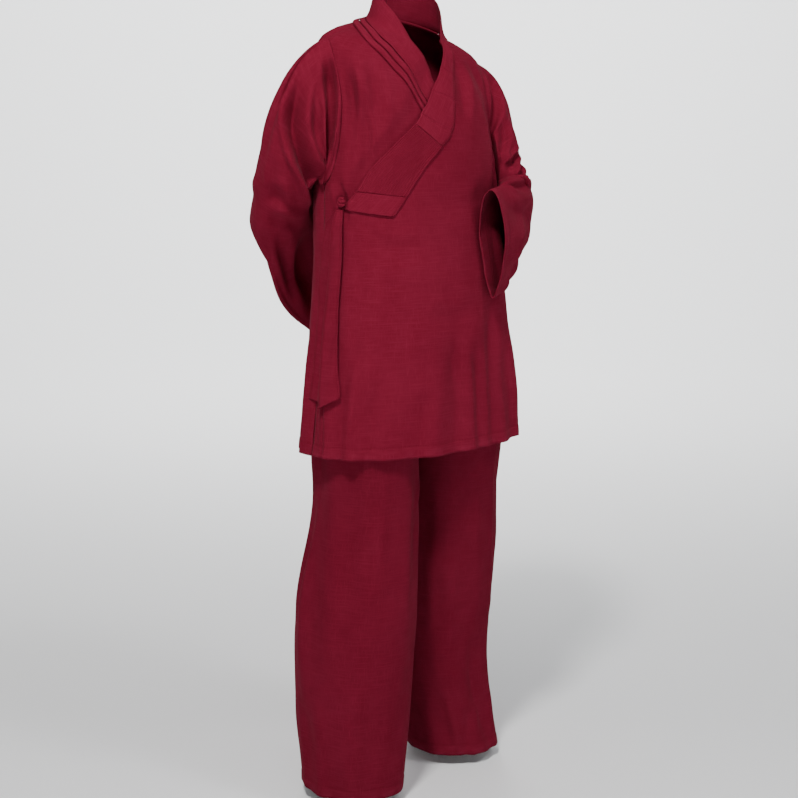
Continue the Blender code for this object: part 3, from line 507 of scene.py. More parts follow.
def handWear():
    # cloth rubbed paler where a doubled edge stands up, most near the edge itself
    inputs = (("Row Place", "Vector"), ("Cloth Place", "Vector"), ("Reach", "Float", 0.012))
    group, given, made = shaderGroup("handWear", inputs, (("Mask", "Float"),))
    below = maths(group, "MULTIPLY", parted(group, given["Row Place"])[1], -1.0)
    near = softStep(group, below, 0.0, given["Reach"])
    rubbed = uneven(group, given["Cloth Place"], "rubbed")
    feed(group, made["Mask"], maths(group, "MULTIPLY", near, rubbed))
    return group


weave, stitches, wearGroup = linenWeave(), stitchRow(), handWear()
cloth = {
    "colour": (0.110, 0.0042, 0.0130, 1.0), "thread": (0.204, 0.0150, 0.036, 1.0),
    "worn": (0.22, 0.020, 0.045, 1.0), "wear": 0.30, "wearReach": 0.016,
    "threads": 1200.0, "slubs": 0.34, "dye": 0.24, "weaveLift": 0.00018, "lift": 0.85,
    "sheen": 0.04, "sheenRoughness": 0.4, "sheenTint": (1.0, 0.42, 0.52, 1.0), "shine": 0.0,
    "stitchLength": 0.0034, "stitchWidth": 0.00055, "stitchColour": (0.19, 0.012, 0.028, 1.0),
    "stitchShade": 0.35, "stitchDark": 0.45, "stitchDip": 1.6, "stitchRise": 1.1,
}


# The number after the name scales every colour of the piece lighter or darker; for the trousers it is painted shade.
def clothMaterial(name, toneAndPaintedShade=1.0, **changes):
    look = {**cloth, **changes}
    material = bpy.data.materials.new(name)
    material.use_nodes = True
    tree = material.node_tree
    times, plus, minus, _ = sums(tree)
    finish = tree.nodes["Principled BSDF"].inputs
    constants = {"Sheen Weight": "sheen", "Sheen Roughness": "sheenRoughness", "Sheen Tint": "sheenTint",
                 "Specular IOR Level": "shine"}
    for title, word in constants.items():
        finish[title].default_value = look[word]

    def uv(layer):
        node = tree.nodes.new("ShaderNodeUVMap")
        node.uv_map = layer
        return node.outputs[0]

    # a colour of the look scaled by the piece's number, which on the trousers is painted shade; with more below 1 it
    # gives the painted shade of the stitch grooves
    def dyedAndShaded(word, more=1.0):
        return tuple(channel * (more * toneAndPaintedShade) for channel in look[word][:3]) + (1.0,)

    def placed(group, values):
        node = tree.nodes.new("ShaderNodeGroup")
        node.node_tree = group
        for title, value in values.items():
            feed(tree, node.inputs[title], value)
        return node.outputs

    clothPlace, rowPlace = uv("cloth"), uv("stitch")
    woven = placed(weave, {
        "Cloth Place": clothPlace, "Body Colour": dyedAndShaded("colour"), "Thread Colour": dyedAndShaded("thread"),
        "Threads Per Metre": look["threads"], "Slubs": look["slubs"], "Uneven Dye": look["dye"]})
    sewn = placed(stitches, {
        "Row Place": rowPlace, "Stitch Length": look["stitchLength"], "Thread Width": look["stitchWidth"]})
    rubbed = placed(wearGroup, {"Row Place": rowPlace, "Cloth Place": clothPlace, "Reach": look["wearReach"]})
    colour = mixColour(tree, times(rubbed["Mask"], look["wear"]), woven["Colour"], dyedAndShaded("worn"))
    # painted shade: the cloth colour is darkened in the groove along each stitch row
    shaded = times(sewn["Dip"], look["stitchShade"])
    colour = mixColour(tree, shaded, colour, dyedAndShaded("colour", look["stitchDark"]))
    feed(tree, finish["Base Color"], mixColour(tree, sewn["Thread"], colour, dyedAndShaded("stitchColour")))
    feed(tree, finish["Roughness"], woven["Roughness"])
    height = minus(woven["Height"], times(sewn["Dip"], look["stitchDip"]))
    bump = tree.nodes.new("ShaderNodeBump")
    bump.inputs["Strength"].default_value = look["lift"]
    bump.inputs["Distance"].default_value = look["weaveLift"]
    feed(tree, bump.inputs["Height"], plus(height, times(sewn["Thread"], look["stitchRise"])))
    feed(tree, finish["Normal"], bump.outputs[0])
    return material


# The seams of the panels and the valley along the armhole; lengths in metres.
seams = {
    "turnSize": 0.14, "groove": 0.0012, "grooveWidth": 0.005, "pucker": 0.0004, "puckerWidth": 0.010,
    "puckerPitch": 0.0021, "armholeTurnSize": 0.11, "armholeWidth": 0.016,
}


def panelLevels():
    # rows about one cell apart, all the way up a panel
    count = int(levelLengths[np.searchsorted(levelKeys, gown["neckLevel"])] / gown["cell"])
    lengths = np.linspace(0.0, upLength(gown["neckLevel"]), count)
    levels = np.interp(lengths, levelLengths, levelKeys)
    for exact in (gown["underarm"], gown["shoulderTip"]):
        levels[np.argmin(np.abs(levels - exact))] = exact
    return levels


def armholeDip(angle, level):
    # the cloth sinks towards the armhole's seam
    aside = np.abs(90.0 - np.abs((angle + 180.0) % 360.0 - 180.0))
    away = np.radians(aside - armholeAngle(level)) * seams["armholeTurnSize"]
    inLevels = ease(gown["underarm"] - 0.5, gown["underarm"] + 0.8, level) * ease(8.6, 6.9, level)
    return gown["armholeDip"] * bell(away, seams["armholeWidth"]) * inLevels


def panel(name, fromAngle, toAngle, columns, outOf):
    levels = panelLevels()[:, None]
    share = np.linspace(0.0, 1.0, columns)[None, :]
    angle = fromAngle(levels) * (1 - share) + toAngle(levels) * share
    level = levels + 0 * angle
    up = upLength(level)
    rise = outOf(angle, level) + hemRise(up)
    seamNear = np.minimum(angle - fromAngle(levels), toAngle(levels) - angle) * math.radians(1) * seams["turnSize"]
    onArmhole = ease(gown["underarm"] - 0.1, gown["underarm"] + 0.3, level) * ease(8.6, 8.3, level)
    rise = rise - seams["groove"] * bell(seamNear, seams["grooveWidth"]) * ease(0.0, 0.03, up) * (1 - onArmhole)
    rise = rise - armholeDip(angle, level)
    pucker = np.sin(up / seams["puckerPitch"]) * softNoise(up / 0.03, angle * 0 + 2, 8)
    rise = rise + seams["pucker"] * pucker * bell(seamNear, seams["puckerWidth"])
    points = bodyPoint(angle, level, rise)
    uv = np.stack([np.radians(angle) * gownFolds["turnSize"], up], axis=-1)
    stitch = np.stack([uv[..., 0], up - gown["hemBand"]], axis=-1)
    return clothPiece(name, points, uv, stitch)


def sideSeam(sign, way):
    def angle(level):
        return sign * (90.0 + way * (armholeAngle(level) + angleOf(gown["seam"] / 2, level)))
    return angle


def edgeOf(rows):
    def angle(level):
        return smoothLine([row[0] for row in rows], [row[1] for row in rows], level)
    return angle


def backTo(level):
    return 360.0 - sideSeam(1, 1)(level)


def outer(angle, level):
    return 0 * angle


# The collar bands: stations from the middle of the back round the neck and down the chest.
collarColumns = ("station", "freeAngle", "freeLevel", "seamAngle", "seamLevel")
overCollar = {
    "rows": (
        (0, 180, 13, 180, 10.85), (1, 138, 13, 136, 10.85), (2, 98, 12.8, 94, 10.85), (3, 66, 12.45, 62, 10.75),
        (4, 48, 11.95, 45, 10.45), (5, 30, 11, 33, 9.9), (6, 16, 9.5, 22, 8.6), (7, 6, 7.94, 14.5, 7.4),
        (8, 0.5, 7.12, 11, 6.7), (9, -6, 6.32, 8, 6.1), (10, -11, 5.96, 5, 5.55), (11, -15.5, 5.64, -1.5, 5.12),
        (12, -33, 5.08, -9.5, 4.78), (13, -49.5, 4.62, -18, 4.44), (14, -59, 4.28, -24.5, 4.18),
        (15, -71.5, 3.98, -33.5, 3.86),
    ),
    "lapelStart": 11.0, "bindingStart": 14.0, "joins": (7.08, 8.55, 10.2),
    "quiltRows": 20, "quiltRise": 0.0007, "endGap": 0.006,
}
underCollar = {
    "rows": (
        (0, -180, 13, -180, 10.85), (1, -140, 13, -140, 10.85), (2, -108, 12.8, -112, 10.85),
        (3, -79, 12.35, -85, 10.75), (4, -54, 11.9, -60, 10.3), (5, -32, 11.15, -38, 9.45), (6, -17, 10, -25.5, 8.6),
        (7, -6.5, 8.82, -18, 7.9), (8, -1, 7.9, -13.5, 7.4), (9, 0, 7.16, -10, 6.9), (10, 3, 6.5, -6, 6.35),
        (11, 9, 5.8, 0, 5.6), (12, 20, 5.2, 10, 4.85),
    ),
    "lips": ((0.0, 0.18), (3.0, 0.22), (6.0, 0.28), (10.6, 0.31)), "lipEnd": 10.6,
}


def evened(rows, name, stations):
    # the same line with its small bends taken out, its two ends kept
    room = np.minimum(np.minimum(stations - rows[0][0], rows[-1][0] - stations), 1.3)
    return sum(column(collarColumns, rows, name, stations + k * room) for k in np.linspace(-1, 1, 9)) / 9


def collarGrid(rows, stations, shares):
    # the under collar's seam is evened, and for the lips, which lie past it, its free edge too
    def line(name, even):
        return evened(rows, name, stations) if even else column(collarColumns, rows, name, stations)

    def mixed(word):
        isUnder = rows is underCollar["rows"]
        free = line("free" + word, isUnder and np.min(shares) > 1.0)
        return free[:, None] * (1 - shares) + line("seam" + word, isUnder)[:, None] * shares

    return mixed("Angle"), mixed("Level")


def gridLengths(points):
    # running lengths along the rows and the columns of a grid, for its cloth coordinates
    down = np.linalg.norm(np.diff(points, axis=0), axis=-1)
    over = np.linalg.norm(np.diff(points, axis=1), axis=-1)
    down = np.concatenate([np.zeros((1, points.shape[1])), np.cumsum(down, axis=0)])
    over = np.concatenate([np.zeros((points.shape[0], 1)), np.cumsum(over, axis=1)], axis=1)
    return down, over


# How a doubled band is sewn: its rounded edges, its stitched row, its cross joins and the rows' own places.
sewn = {
    "stitchIn": 0.0035, "edge": 0.0016, "row": 0.0006, "rowWidth": 0.0011, "join": 0.0013, "joinWidth": 0.0016,
    "rumple": 0.0005, "rumpleSize": 0.03, "ribbonIn": 0.003, "ribbonRow": 0.0005,
}


def band(name, rows, stations, fromShare, toShare, columns, outOf, puff,
         stitchIn=sewn["stitchIn"], joins=(), flip=False):
    shares = fromShare + (toShare - fromShare) * np.linspace(0.0, 1.0, columns)[None, :]
    angle, level = collarGrid(rows, stations, shares)
    down, over = gridLengths(bodyPoint(angle, level, outOf(angle, level)))
    width = over[:, -1:]
    edge = np.minimum(over, width - over)
    rise = puff * (1 - np.exp(-edge / sewn["edge"]))
    rise = rise - sewn["row"] * bell(edge - stitchIn, sewn["rowWidth"])
    middle = down[:, columns // 2]
    for join in joins:
        at = np.interp(join, stations, middle)
        rise = rise - sewn["join"] * bell(middle - at, sewn["joinWidth"])[:, None]
    rise = rise + sewn["rumple"] * softNoise(down / sewn["rumpleSize"], over / sewn["rumpleSize"], 11)
    points = bodyPoint(angle, level, outOf(angle, level) + rise)
    uv = np.stack([down, over], axis=-1)
    stitch = np.stack([down, edge - stitchIn], axis=-1)
    if flip:
        points, uv, stitch = points[::-1], uv[::-1], stitch[::-1]
    return clothPiece(name, points, uv, stitch)


def onFront(angle, level):
    return gown["lay"] + gown["wall"] + 0 * angle


def onUnder(angle, level):
    return underOut(angle, level) + gown["lay"] + gown["wall"]


def evenStations(rows, start, end, cell):
    # stations spaced evenly along the band's own length
    at = np.linspace(start, end, 200)
    middle = bodyPoint(*[grid[:, 0] for grid in collarGrid(rows, at, np.array([[0.5]]))])
    travelled = travel(middle)
    return np.interp(np.linspace(0, travelled[-1], int(travelled[-1] / cell) + 2), travelled, at)


def makeLapel():
    # the stitched end of the over collar: narrow channels side by side, running along it
    rows, count = overCollar["rows"], overCollar["quiltRows"]
    gap = overCollar["endGap"]
    stations = evenStations(rows, overCollar["lapelStart"] + gap, overCollar["bindingStart"] - gap, 0.0022)
    shares = np.linspace(0.0, 1.0, 8 * count + 1)[None, :]
    angle, level = collarGrid(rows, stations, shares)
    down, over = gridLengths(bodyPoint(angle, level, onFront(angle, level)))
    channel = np.abs(np.sin(math.pi * count * shares)) ** 0.55
    rise = overCollar["quiltRise"] * channel + 0.0006 * softNoise(down / 0.02, over / 0.02, 12)
    points = bodyPoint(angle, level, gown["lay"] + gown["wall"] + rise)
    uv = np.stack([down, over], axis=-1)
    pitch = over[:, -1:] / count
    stitch = np.stack([down, (over / pitch - np.round(over / pitch)) * pitch], axis=-1)
    return clothPiece("lapelCloth", points[::-1], uv[::-1], stitch[::-1])


tie = {
    "columns": ("station", "backAngle", "backLevel", "frontAngle", "frontLevel", "out"),
    "front": (
        (0, -74.2, 3.97, -69.6, 3.97, 0.0095), (1, -77.6, 3.66, -69, 3.66, 0.0115), (2, -80, 3.2, -69.5, 3.2, 0.011),
        (3, -81, 2.5, -71, 2.5, 0.0105), (4, -81.5, 1.7, -69.5, 1.72, 0.011), (5, -81, 0.84, -66.5, 1.04, 0.0095),
    ),
    "back": (
        (0, -75.4, 3.974, -71, 3.974, 0.0062), (1, -86.5, 3.62, -79.5, 3.62, 0.006),
        (2, -92.5, 2.96, -81, 2.96, 0.0042), (3, -92, 2.22, -80.5, 2.22, 0.005), (4, -93, 1.4, -80, 1.4, 0.0042),
        (5, -94.5, 0.96, -79, 0.92, 0.005),
    ),
    "curl": 0.0009,
    "knot": {"angle": -71.2, "level": 4.10, "out": 0.0081, "wide": 0.0150, "high": 0.019, "deep": 0.0095},
}


def makeRibbon(name, rows, seed):
    stations = np.linspace(0.0, 5.0, 150)
    share = np.linspace(0.0, 1.0, 17)[None, :]

    def value(word):
        return column(tie["columns"], rows, word, stations)[:, None]

    angle = value("backAngle") * (1 - share) + value("frontAngle") * share
    level = value("backLevel") * (1 - share) + value("frontLevel") * share
    curl = tie["curl"] * np.sin(math.pi * (1.6 * share + 0.7 * stations[:, None]))
    curl = curl + 0.0007 * softNoise(share * 2 + seed, stations[:, None] * 3, seed)
    plain = bodyPoint(angle, level, value("out") + curl)
    down, over = gridLengths(plain)
    edge = np.minimum(over, over[:, -1:] - over)
    groove = -sewn["ribbonRow"] * bell(edge - sewn["ribbonIn"], sewn["rowWidth"])
    points = bodyPoint(angle, level, value("out") + curl + groove)
    uv = np.stack([over, down], axis=-1)
    stitch = np.stack([down, edge - sewn["ribbonIn"]], axis=-1)
    return clothPiece(name, points[::-1], uv[::-1], stitch[::-1])


def makeKnot():
    # the cloth wound tight on itself: three slanted turns on a small soft core
    knot = tie["knot"]
    around, high = np.meshgrid(np.linspace(0, 2 * math.pi, 64, endpoint=False), np.linspace(-1, 1, 49))
    lean = high * 1.4 + 0.42 * np.cos(around + 0.8)
    turns = np.abs(np.sin(math.pi * lean)) ** 0.6
    girth = np.clip(1 - np.abs(high)**3, 0, 1) ** 0.5 * (0.66 + 0.36 * turns)
    x = 0.5 * knot["wide"] * girth * np.cos(around) * 1.08
    y = 0.5 * knot["deep"] * girth * np.sin(around) * 1.08
    z = 0.5 * knot["high"] * high
    turn = math.radians(knot["angle"])
    centre = bodyPoint(knot["angle"], knot["level"], knot["out"])
    across, ahead = math.cos(turn), math.sin(turn)
    points = np.stack([x * across - y * ahead, x * ahead + y * across, z], axis=-1)
    wide = np.append(around[0], 2 * math.pi)[None, :] * 0.007 + 0 * high[:, :1]
    uv = np.stack([wide, high[:, :1] * 0.014 + 0 * wide], axis=-1)
    piece = clothPiece("knotCloth", points + centre, uv, closed=True)
    piece.modifiers.clear()
    ends = bmesh.new()
    ends.from_mesh(piece.data)
    bmesh.ops.remove_doubles(ends, verts=ends.verts, dist=1e-6)
    ends.to_mesh(piece.data)
    ends.free()
    return piece


# Sleeve rings from the armhole to the cuff, then the creases of each, by turn from its top and station.
sleeveColumns = ("station", "x", "y", "z", "topX", "topY", "topZ", "along", "across", "pinch")
leftSleeve = {
    "side": 1,
    "rows": (
        (0, 0.172, 0.004, -0.17, 0, 0, 1, 0.12, 0.04, 0), (1, 0.187, 0.002, -0.202, 0.6, 0, 0.75, 0.078, 0.05, 0),
        (2, 0.204, -0.004, -0.266, 1, 0, 0.2, 0.054, 0.064, 0),
        (3, 0.22, -0.03, -0.33, 0.9, -0.4, 0, 0.048, 0.078, 0.3),
        (4, 0.162, -0.1, -0.378, 0.6, -0.78, 0, 0.034, 0.096, 0.4),
        (5, 0.078, -0.148, -0.396, 0.6, -0.78, 0, 0.026, 0.102, 0.4),
    ),
    "large": (
        (95, 0.5, 70, 2.3, 15, -7.2), (45, 0.6, 35, 2, 16, -5.4), (110, 2.7, 20, 2, 12, -7.2),
        (110, 2.9, 15, 2.5, 11, -7.2), (105, 3.1, 5, 3, 12, -7.8), (250, 1.4, 285, 2.6, 15, -6),
        (215, 0.8, 225, 2.4, 16, -6), (320, 3.4, 300, 4.8, 16, -4.2),
    ),
    "fine": (
        (9, -8, "", 8, 0.5, 45, 0.66, 75, 0.72, 98, 0.62, 114, 0.45),
        (9, -5.6, "", 60, 0.95, 90, 1.33, 122, 1.85, 146, 2.25),
        (8, -7.5, "", 118, 2.15, 92, 1.98, 66, 1.84, 36, 1.7),
        (7, -4.6, "", 108, 2.62, 85, 2.46, 56, 2.14, 30, 1.98), (8, -5.6, "", 104, 3.25, 84, 3.02, 64, 2.5, 42, 2.3),
        (7, -5.2, "", 112, 4.4, 90, 4.1, 70, 3.86, 56, 3.55, 44, 3.1), (10, -4, "", 42, 4.85, 22, 4, 8, 3.2),
        (11, -3.6, "", 10, 4.9, 352, 4, 340, 3.2), (10, -4, "", 328, 4.8, 322, 4, 330, 3.3),
        (10, -3.4, "", 20, 0.9, 14, 1.6, 20, 2.3), (10, -4.4, "", 300, 0.8, 288, 1.6, 282, 2.4),
        (10, -4, "", 250, 1, 236, 1.9, 224, 2.8), (9, -3.6, "", 180, 1.2, 192, 2, 205, 2.8),
        (8, -4.4, "", 285, 3, 262, 2.7, 236, 2.9), (8, -3.6, "", 270, 3.6, 250, 3.4, 220, 3.7),
    ),
}
rightSleeve = {
    "side": -1,
    "rows": (
        (0, -0.19, 0.006, -0.16, 0, 0, 1, 0.12, 0.038, 0),
        (1, -0.213, 0.032, -0.198, -0.65, 0.05, 0.7, 0.08, 0.052, 0),
        (2, -0.222, 0.066, -0.26, -0.97, 0.15, 0, 0.058, 0.064, 0),
        (3, -0.202, 0.116, -0.332, -0.75, 0.1, -0.6, 0.072, 0.055, 0.2),
        (4, -0.14, 0.172, -0.425, -0.45, 0, -0.85, 0.104, 0.036, 0.4),
        (5, -0.045, 0.192, -0.492, -0.3, 0, -0.95, 0.116, 0.026, 0.4),
    ),
    "large": (
        (62, 0.3, 48, 1.3, 16, -8.1), (48, 1.3, 96, 2.6, 14, -8.1), (20, 0.5, 12, 1.6, 17, -5),
        (92, 0.4, 84, 1.7, 16, -6.9), (30, 2.5, 60, 4, 17, -5.6), (5, 3, 30, 4.8, 17, -5),
        (300, 1.2, 320, 2.6, 17, -6.3), (250, 1, 262, 2.4, 16, -6.3),
    ),
    "fine": (
        (10, -18.5, "", 26, 0.42, 42, 0.84, 60, 1.14, 84, 1.45, 112, 1.95, 130, 2.7),
        (8, -15, "", 34, 0.16, 62, 0.24, 90, 0.34, 118, 0.48, 142, 0.52),
        (8, -4.6, "", 58, 0.18, 76, 0.62, 98, 0.84, 118, 0.95), (11, -3.6, "", 32, 1, 40, 1.4, 32, 2, 40, 2.7),
        (9, -4.4, "", 10, 2.46, 54, 2.34, 94, 2.7), (8, -3.8, "", 18, 2.92, 55, 2.8, 88, 3.1),
        (10, -4.4, "", 20, 3.2, 48, 3.6, 46, 4.4), (12, -13, "", 92, 3.3, 70, 4.3, 44, 4.8),
        (11, -3.6, "", 12, 0.5, 6, 1.2, 10, 2), (12, -3.6, "", 350, 1.6, 352, 2.6, 5, 3.6),
        (10, -4.6, "", 322, 0.8, 308, 1.6, 300, 2.4), (10, -4.4, "", 282, 0.7, 270, 1.5, 262, 2.4),
        (10, -4.4, "", 300, 2.6, 286, 3.2, 282, 4.2), (10, -3.6, "", 240, 1, 232, 2, 240, 3),
        (9, -4, "", 180, 1.1, 172, 2.1, 160, 3), (11, -3.8, "e", 330, 3.4, 322, 4.2, 318, 5),
    ),
}


# What both sleeves share: the armhole's half sizes, cloth coordinates, how it leaves the seam, rings and creases.
sleeveForm = {
    "rings": 112, "columns": 124, "openDeep": 0.041, "openHigh": 0.125, "turnSize": 0.065, "stationSize": 0.085,
    "creaseStrength": 1.5, "rumple": 0.0014, "leaves": 0.055, "joined": 1.6, "turnReach": 0.09,
    "seat": 0.022, "seated": 0.35, "cleared": 0.5, "folded": 0.14, "topFall": -0.25, "underFall": -0.35,
    "sharp": 8.0,
}


def makeSleeve(name, sleeve):
    form = sleeveForm
    side, rows = sleeve["side"], sleeve["rows"]
    under, tip = gown["underarm"], gown["shoulderTip"]
    spread = 0.5 - 0.5 * np.cos(np.linspace(0, math.pi, 300))
    levels = under + (tip - under) * spread
    angle = np.concatenate([side * (90.0 - armholeAngle(levels[::-1])), side * (90.0 + armholeAngle(levels[1:]))])
    level = np.concatenate([levels[::-1], levels[1:]])
    # the same edge again, its points now evenly spaced
    travelled = travel(bodyRing(angle, level))
    even = np.linspace(0, travelled[-1], form["columns"] + 1)[:-1]
    angle, level = np.interp(even, travelled, angle), np.interp(even, travelled, level)
    start = bodyPoint(angle, level, -armholeDip(angle, level))
    plain = bodyRing(angle, level)
    aside = np.clip((90.0 - side * angle) / form["sharp"], -1, 1)[:, None]
    step = bodyRing(angle - side * 2.0, level) - plain
    back = bodyRing(angle + side * 2.0, level) - plain
    outward = unit(-step) * np.maximum(aside, 0) + unit(-back) * np.maximum(-aside, 0)
    high = ease(under, tip, level)[:, None]
    topEnd, underEnd = [unit(np.array([side, 0.0, fall])) for fall in (form["topFall"], form["underFall"])]
    ends = topEnd * high + underEnd * (1 - high)
    outward = unit(outward + ends * (1 - np.abs(aside)))
    centre = plain.mean(axis=0)
    turn = np.arctan2(-(plain[:, 1] - centre[1]) / form["openDeep"], (plain[:, 2] - centre[2]) / form["openHigh"])
    stations = np.linspace(0.0, 5.0, form["rings"])

    def value(word):
        return column(sleeveColumns, rows, word, stations)

    middle = np.stack([value("x"), value("y"), value("z")], axis=-1)
    along = unit(np.gradient(middle, stations, axis=0))
    top = unit(np.stack([value("topX"), value("topY"), value("topZ")], axis=-1))
    top = unit(top - along * (top * along).sum(axis=-1, keepdims=True))
    ahead = side * np.cross(along, top)
    degrees = np.degrees(turn)[None, :]
    turnSize, stationSize = form["turnSize"], form["stationSize"]
    down, across, forth = stations[:, None], np.sin(turn)[None, :], np.cos(turn)[None, :]
    rise = largeFolds(sleeve["large"], degrees, down, turnSize, stationSize)
    rise = rise + creases(
        sleeve["fine"], degrees, down, turnSize, lambda place: place * stationSize, form["creaseStrength"])
    rise = rise + form["rumple"] * softNoise(forth * 2.0 + 7, down * 1.7 + across * 2.0, 21 + side)
    length = travel(middle)
    fromCuff = (length[-1] - length)[:, None]
    rise = rise + hemRise(fromCuff)
    alongSize, acrossSize = value("along")[:, None], value("across")[:, None]
    rings = (middle[:, None] + (forth * alongSize)[..., None] * top[:, None]
             + (across * acrossSize)[..., None] * ahead[:, None])
    sunk = np.clip((middle[:, None, 2] - rings[..., 2]) / acrossSize, 0.0, 1.0)
    rings[..., :2] += (middle[:, None, :2] - rings[..., :2]) * (sunk * value("pinch")[:, None])[..., None]
    reach = np.minimum(stations, form["joined"])[:, None, None] * form["leaves"] + gown["seam"]
    # it goes on along the panel's own surface as far as half the opening's width, then straight out
    room = np.maximum(form["turnReach"] * np.radians(armholeAngle(level)), 1e-6)[None, :, None]
    turned = room * (1 - np.exp(-reach / room))
    leaving = start[None] + outward[None] * turned + ends[None] * (reach - turned)
    taken = ease(0.0, form["joined"], stations)[:, None, None]
    points = leaving * (1 - taken) + rings * taken
    gap = gown["clear"] * ease(0.0, form["cleared"], down) - form["seat"] * ease(form["seated"], 0.0, down)
    points = clearOfBody(points, gap)
    # the folds go in square to the cloth, from a little way past the seam
    looped = np.concatenate([points[:, -1:], points, points[:, :1]], axis=1)
    facing = unit(np.cross(looped[:, 2:] - looped[:, :-2], np.gradient(points, axis=0)))
    facing = facing * np.sign(np.mean(np.sum(facing * (points - middle[:, None]), axis=-1)))
    points = points + facing * (rise * ease(0.0, form["folded"], down))[..., None]
    points = clearOfBody(points, gap)
    around = np.concatenate([[0], np.cumsum(np.abs(np.diff(np.unwrap(turn))))])
    around = np.append(around, 2 * math.pi) * turnSize
    uv = np.stack(np.broadcast_arrays(around[None, :], length[:, None]), axis=-1)
    stitch = np.stack([uv[..., 0], fromCuff + 0 * uv[..., 0] - gown["hemBand"]], axis=-1)
    if side < 0:
        points, uv, stitch = points[:, ::-1], uv[:, ::-1], stitch[:, ::-1]
    return clothPiece(name, points, uv, stitch, closed=True)


# Leg rings from the waist to the hem. Turn 0 faces the other leg, 90 the front, 180 the outer side.
legColumns = ("height", "x", "y", "halfWidth", "halfDepth")
trousers = {
    "top": -0.420, "crotch": -0.745, "hem": -1.430, "bandDepth": 0.040, "cell": 0.0055, "turnSize": 0.105,
    "creaseStrength": 0.75, "rumple": 0.0016,
}
rightLeg = {
    "side": -1,
    "rows": (
        (-0.42, -0.008, 0.002, 0.178, 0.112), (-0.54, -0.03, 0.002, 0.162, 0.116),
        (-0.66, -0.07, 0.001, 0.132, 0.117), (-0.745, -0.101, 0, 0.1008, 0.115),
        (-0.88, -0.106, -0.002, 0.097, 0.11), (-1.08, -0.131, -0.004, 0.11, 0.127),
        (-1.28, -0.142, -0.008, 0.103, 0.119), (-1.43, -0.146, -0.01, 0.092, 0.107),
    ),
    "large": (
        (200, -0.76, 203, -1.12, 14, -9.7), (186, -0.76, 186, -1.25, 22, 5.3), (150, -0.78, 146, -1.18, 28, -5.3),
        (60, -0.8, 52, -1.05, 20, -6), (240, -0.8, 246, -1.2, 20, -8.3), (286, -0.78, 292, -1.15, 20, -7.5),
        (112, -1.25, 104, -1.43, 25, -6),
    ),
    "fine": (
        (13, -11, "s", 191, -0.66, 187, -0.9, 178, -1.06, 175, -1.28),
        (12, -3, "", 146, -0.76, 140, -0.96, 138, -1.14), (14, -3, "", 94, -0.77, 98, -0.96, 101, -1.14),
        (12, -4, "", 62, -0.79, 66, -1, 60, -1.2), (17, -2.6, "e", 120, -1.22, 118, -1.34, 117, -1.43),
        (14, -5, "e", 152, -1.18, 156, -1.32, 154, -1.43), (15, -2, "e", 84, -1.26, 88, -1.36, 87, -1.43),
        (12, -4, "e", 188, -1.24, 184, -1.36, 186, -1.43), (10, -3, "", 12, -0.8, 38, -0.87, 64, -0.98),
        (14, -1.8, "", 64, -1.06, 92, -1.03, 126, -1.07), (11, -4.4, "", 222, -0.8, 226, -1, 220, -1.2),
        (12, -4.4, "", 262, -0.8, 266, -1.05, 272, -1.28), (12, -4, "", 310, -0.82, 306, -1.02, 312, -1.22),
        (13, -5, "e", 240, -1.24, 236, -1.36, 238, -1.43), (12, -5, "e", 280, -1.28, 284, -1.38, 284, -1.43),
        (12, -4, "e", 330, -1.2, 334, -1.34, 332, -1.43), (11, -2.6, "", 236, -0.98, 262, -1.02, 290, -0.97),
    ),
}
leftLeg = {
    "side": 1,
    "rows": (
        (-0.42, 0.008, 0.002, 0.178, 0.112), (-0.54, 0.03, 0.002, 0.162, 0.116), (-0.66, 0.07, 0.003, 0.132, 0.117),
        (-0.745, 0.101, 0.005, 0.1008, 0.115), (-0.88, 0.102, 0.012, 0.098, 0.11), (-1.08, 0.112, 0.046, 0.11, 0.12),
        (-1.26, 0.11, 0.056, 0.098, 0.108), (-1.35, 0.124, 0.048, 0.092, 0.102), (-1.43, 0.138, 0.036, 0.09, 0.102),
    ),
    "large": (
        (168, -0.8, 162, -1.2, 18, -7.5), (120, -0.78, 126, -1.1, 20, -6.7), (96, -1.2, 104, -1.4, 17, -9),
        (124, -1.18, 130, -1.43, 18, 9), (150, -1.26, 152, -1.42, 17, -9), (236, -0.8, 230, -1.15, 20, -8.3),
        (282, -0.8, 276, -1.2, 20, -7.5),
    ),
    "fine": (
        (9, -5.2, "e", 51, -1.28, 51, -1.36, 52, -1.43), (10, -6.2, "e", 96, -1.32, 78, -1.38, 66, -1.43),
        (12, 5, "e", 30, -1.31, 28, -1.38, 27, -1.43),
        (13, 4.4, "", 45, -0.78, 51, -0.96, 60, -1.1, 66, -1.27, 69, -1.37),
        (12, -3.4, "", 69, -0.8, 77, -1.01, 88, -1.2), (12, -3.4, "", 98, -0.8, 104, -1, 112, -1.16),
        (11, -3.6, "", 26, -0.8, 30, -1, 34, -1.22), (12, -4, "", 140, -0.82, 136, -1.02, 140, -1.2),
        (10, -4.4, "e", 118, -1.3, 112, -1.38, 110, -1.43), (12, -4.4, "e", 178, -1.2, 176, -1.34, 178, -1.43),
        (12, -4.4, "", 200, -0.84, 204, -1.04, 198, -1.22), (12, -4.4, "", 252, -0.82, 256, -1.02, 262, -1.22),
        (11, -4, "", 306, -0.84, 304, -1.04, 298, -1.2), (12, -5, "e", 222, -1.24, 226, -1.36, 224, -1.43),
        (12, -5, "e", 266, -1.26, 262, -1.38, 264, -1.43), (11, -4.4, "e", 318, -1.24, 322, -1.36, 320, -1.43),
        (11, -2.6, "", 228, -1, 256, -0.96, 282, -1.01),
    ),
}


def waistOut():
    return -(2 * (gown["wall"] + gown["lay"]) + gown["wall"] + gown["lay"])


def levelAt(heights):
    return np.interp(heights, [row[1] for row in bodyRows], [row[0] for row in bodyRows])


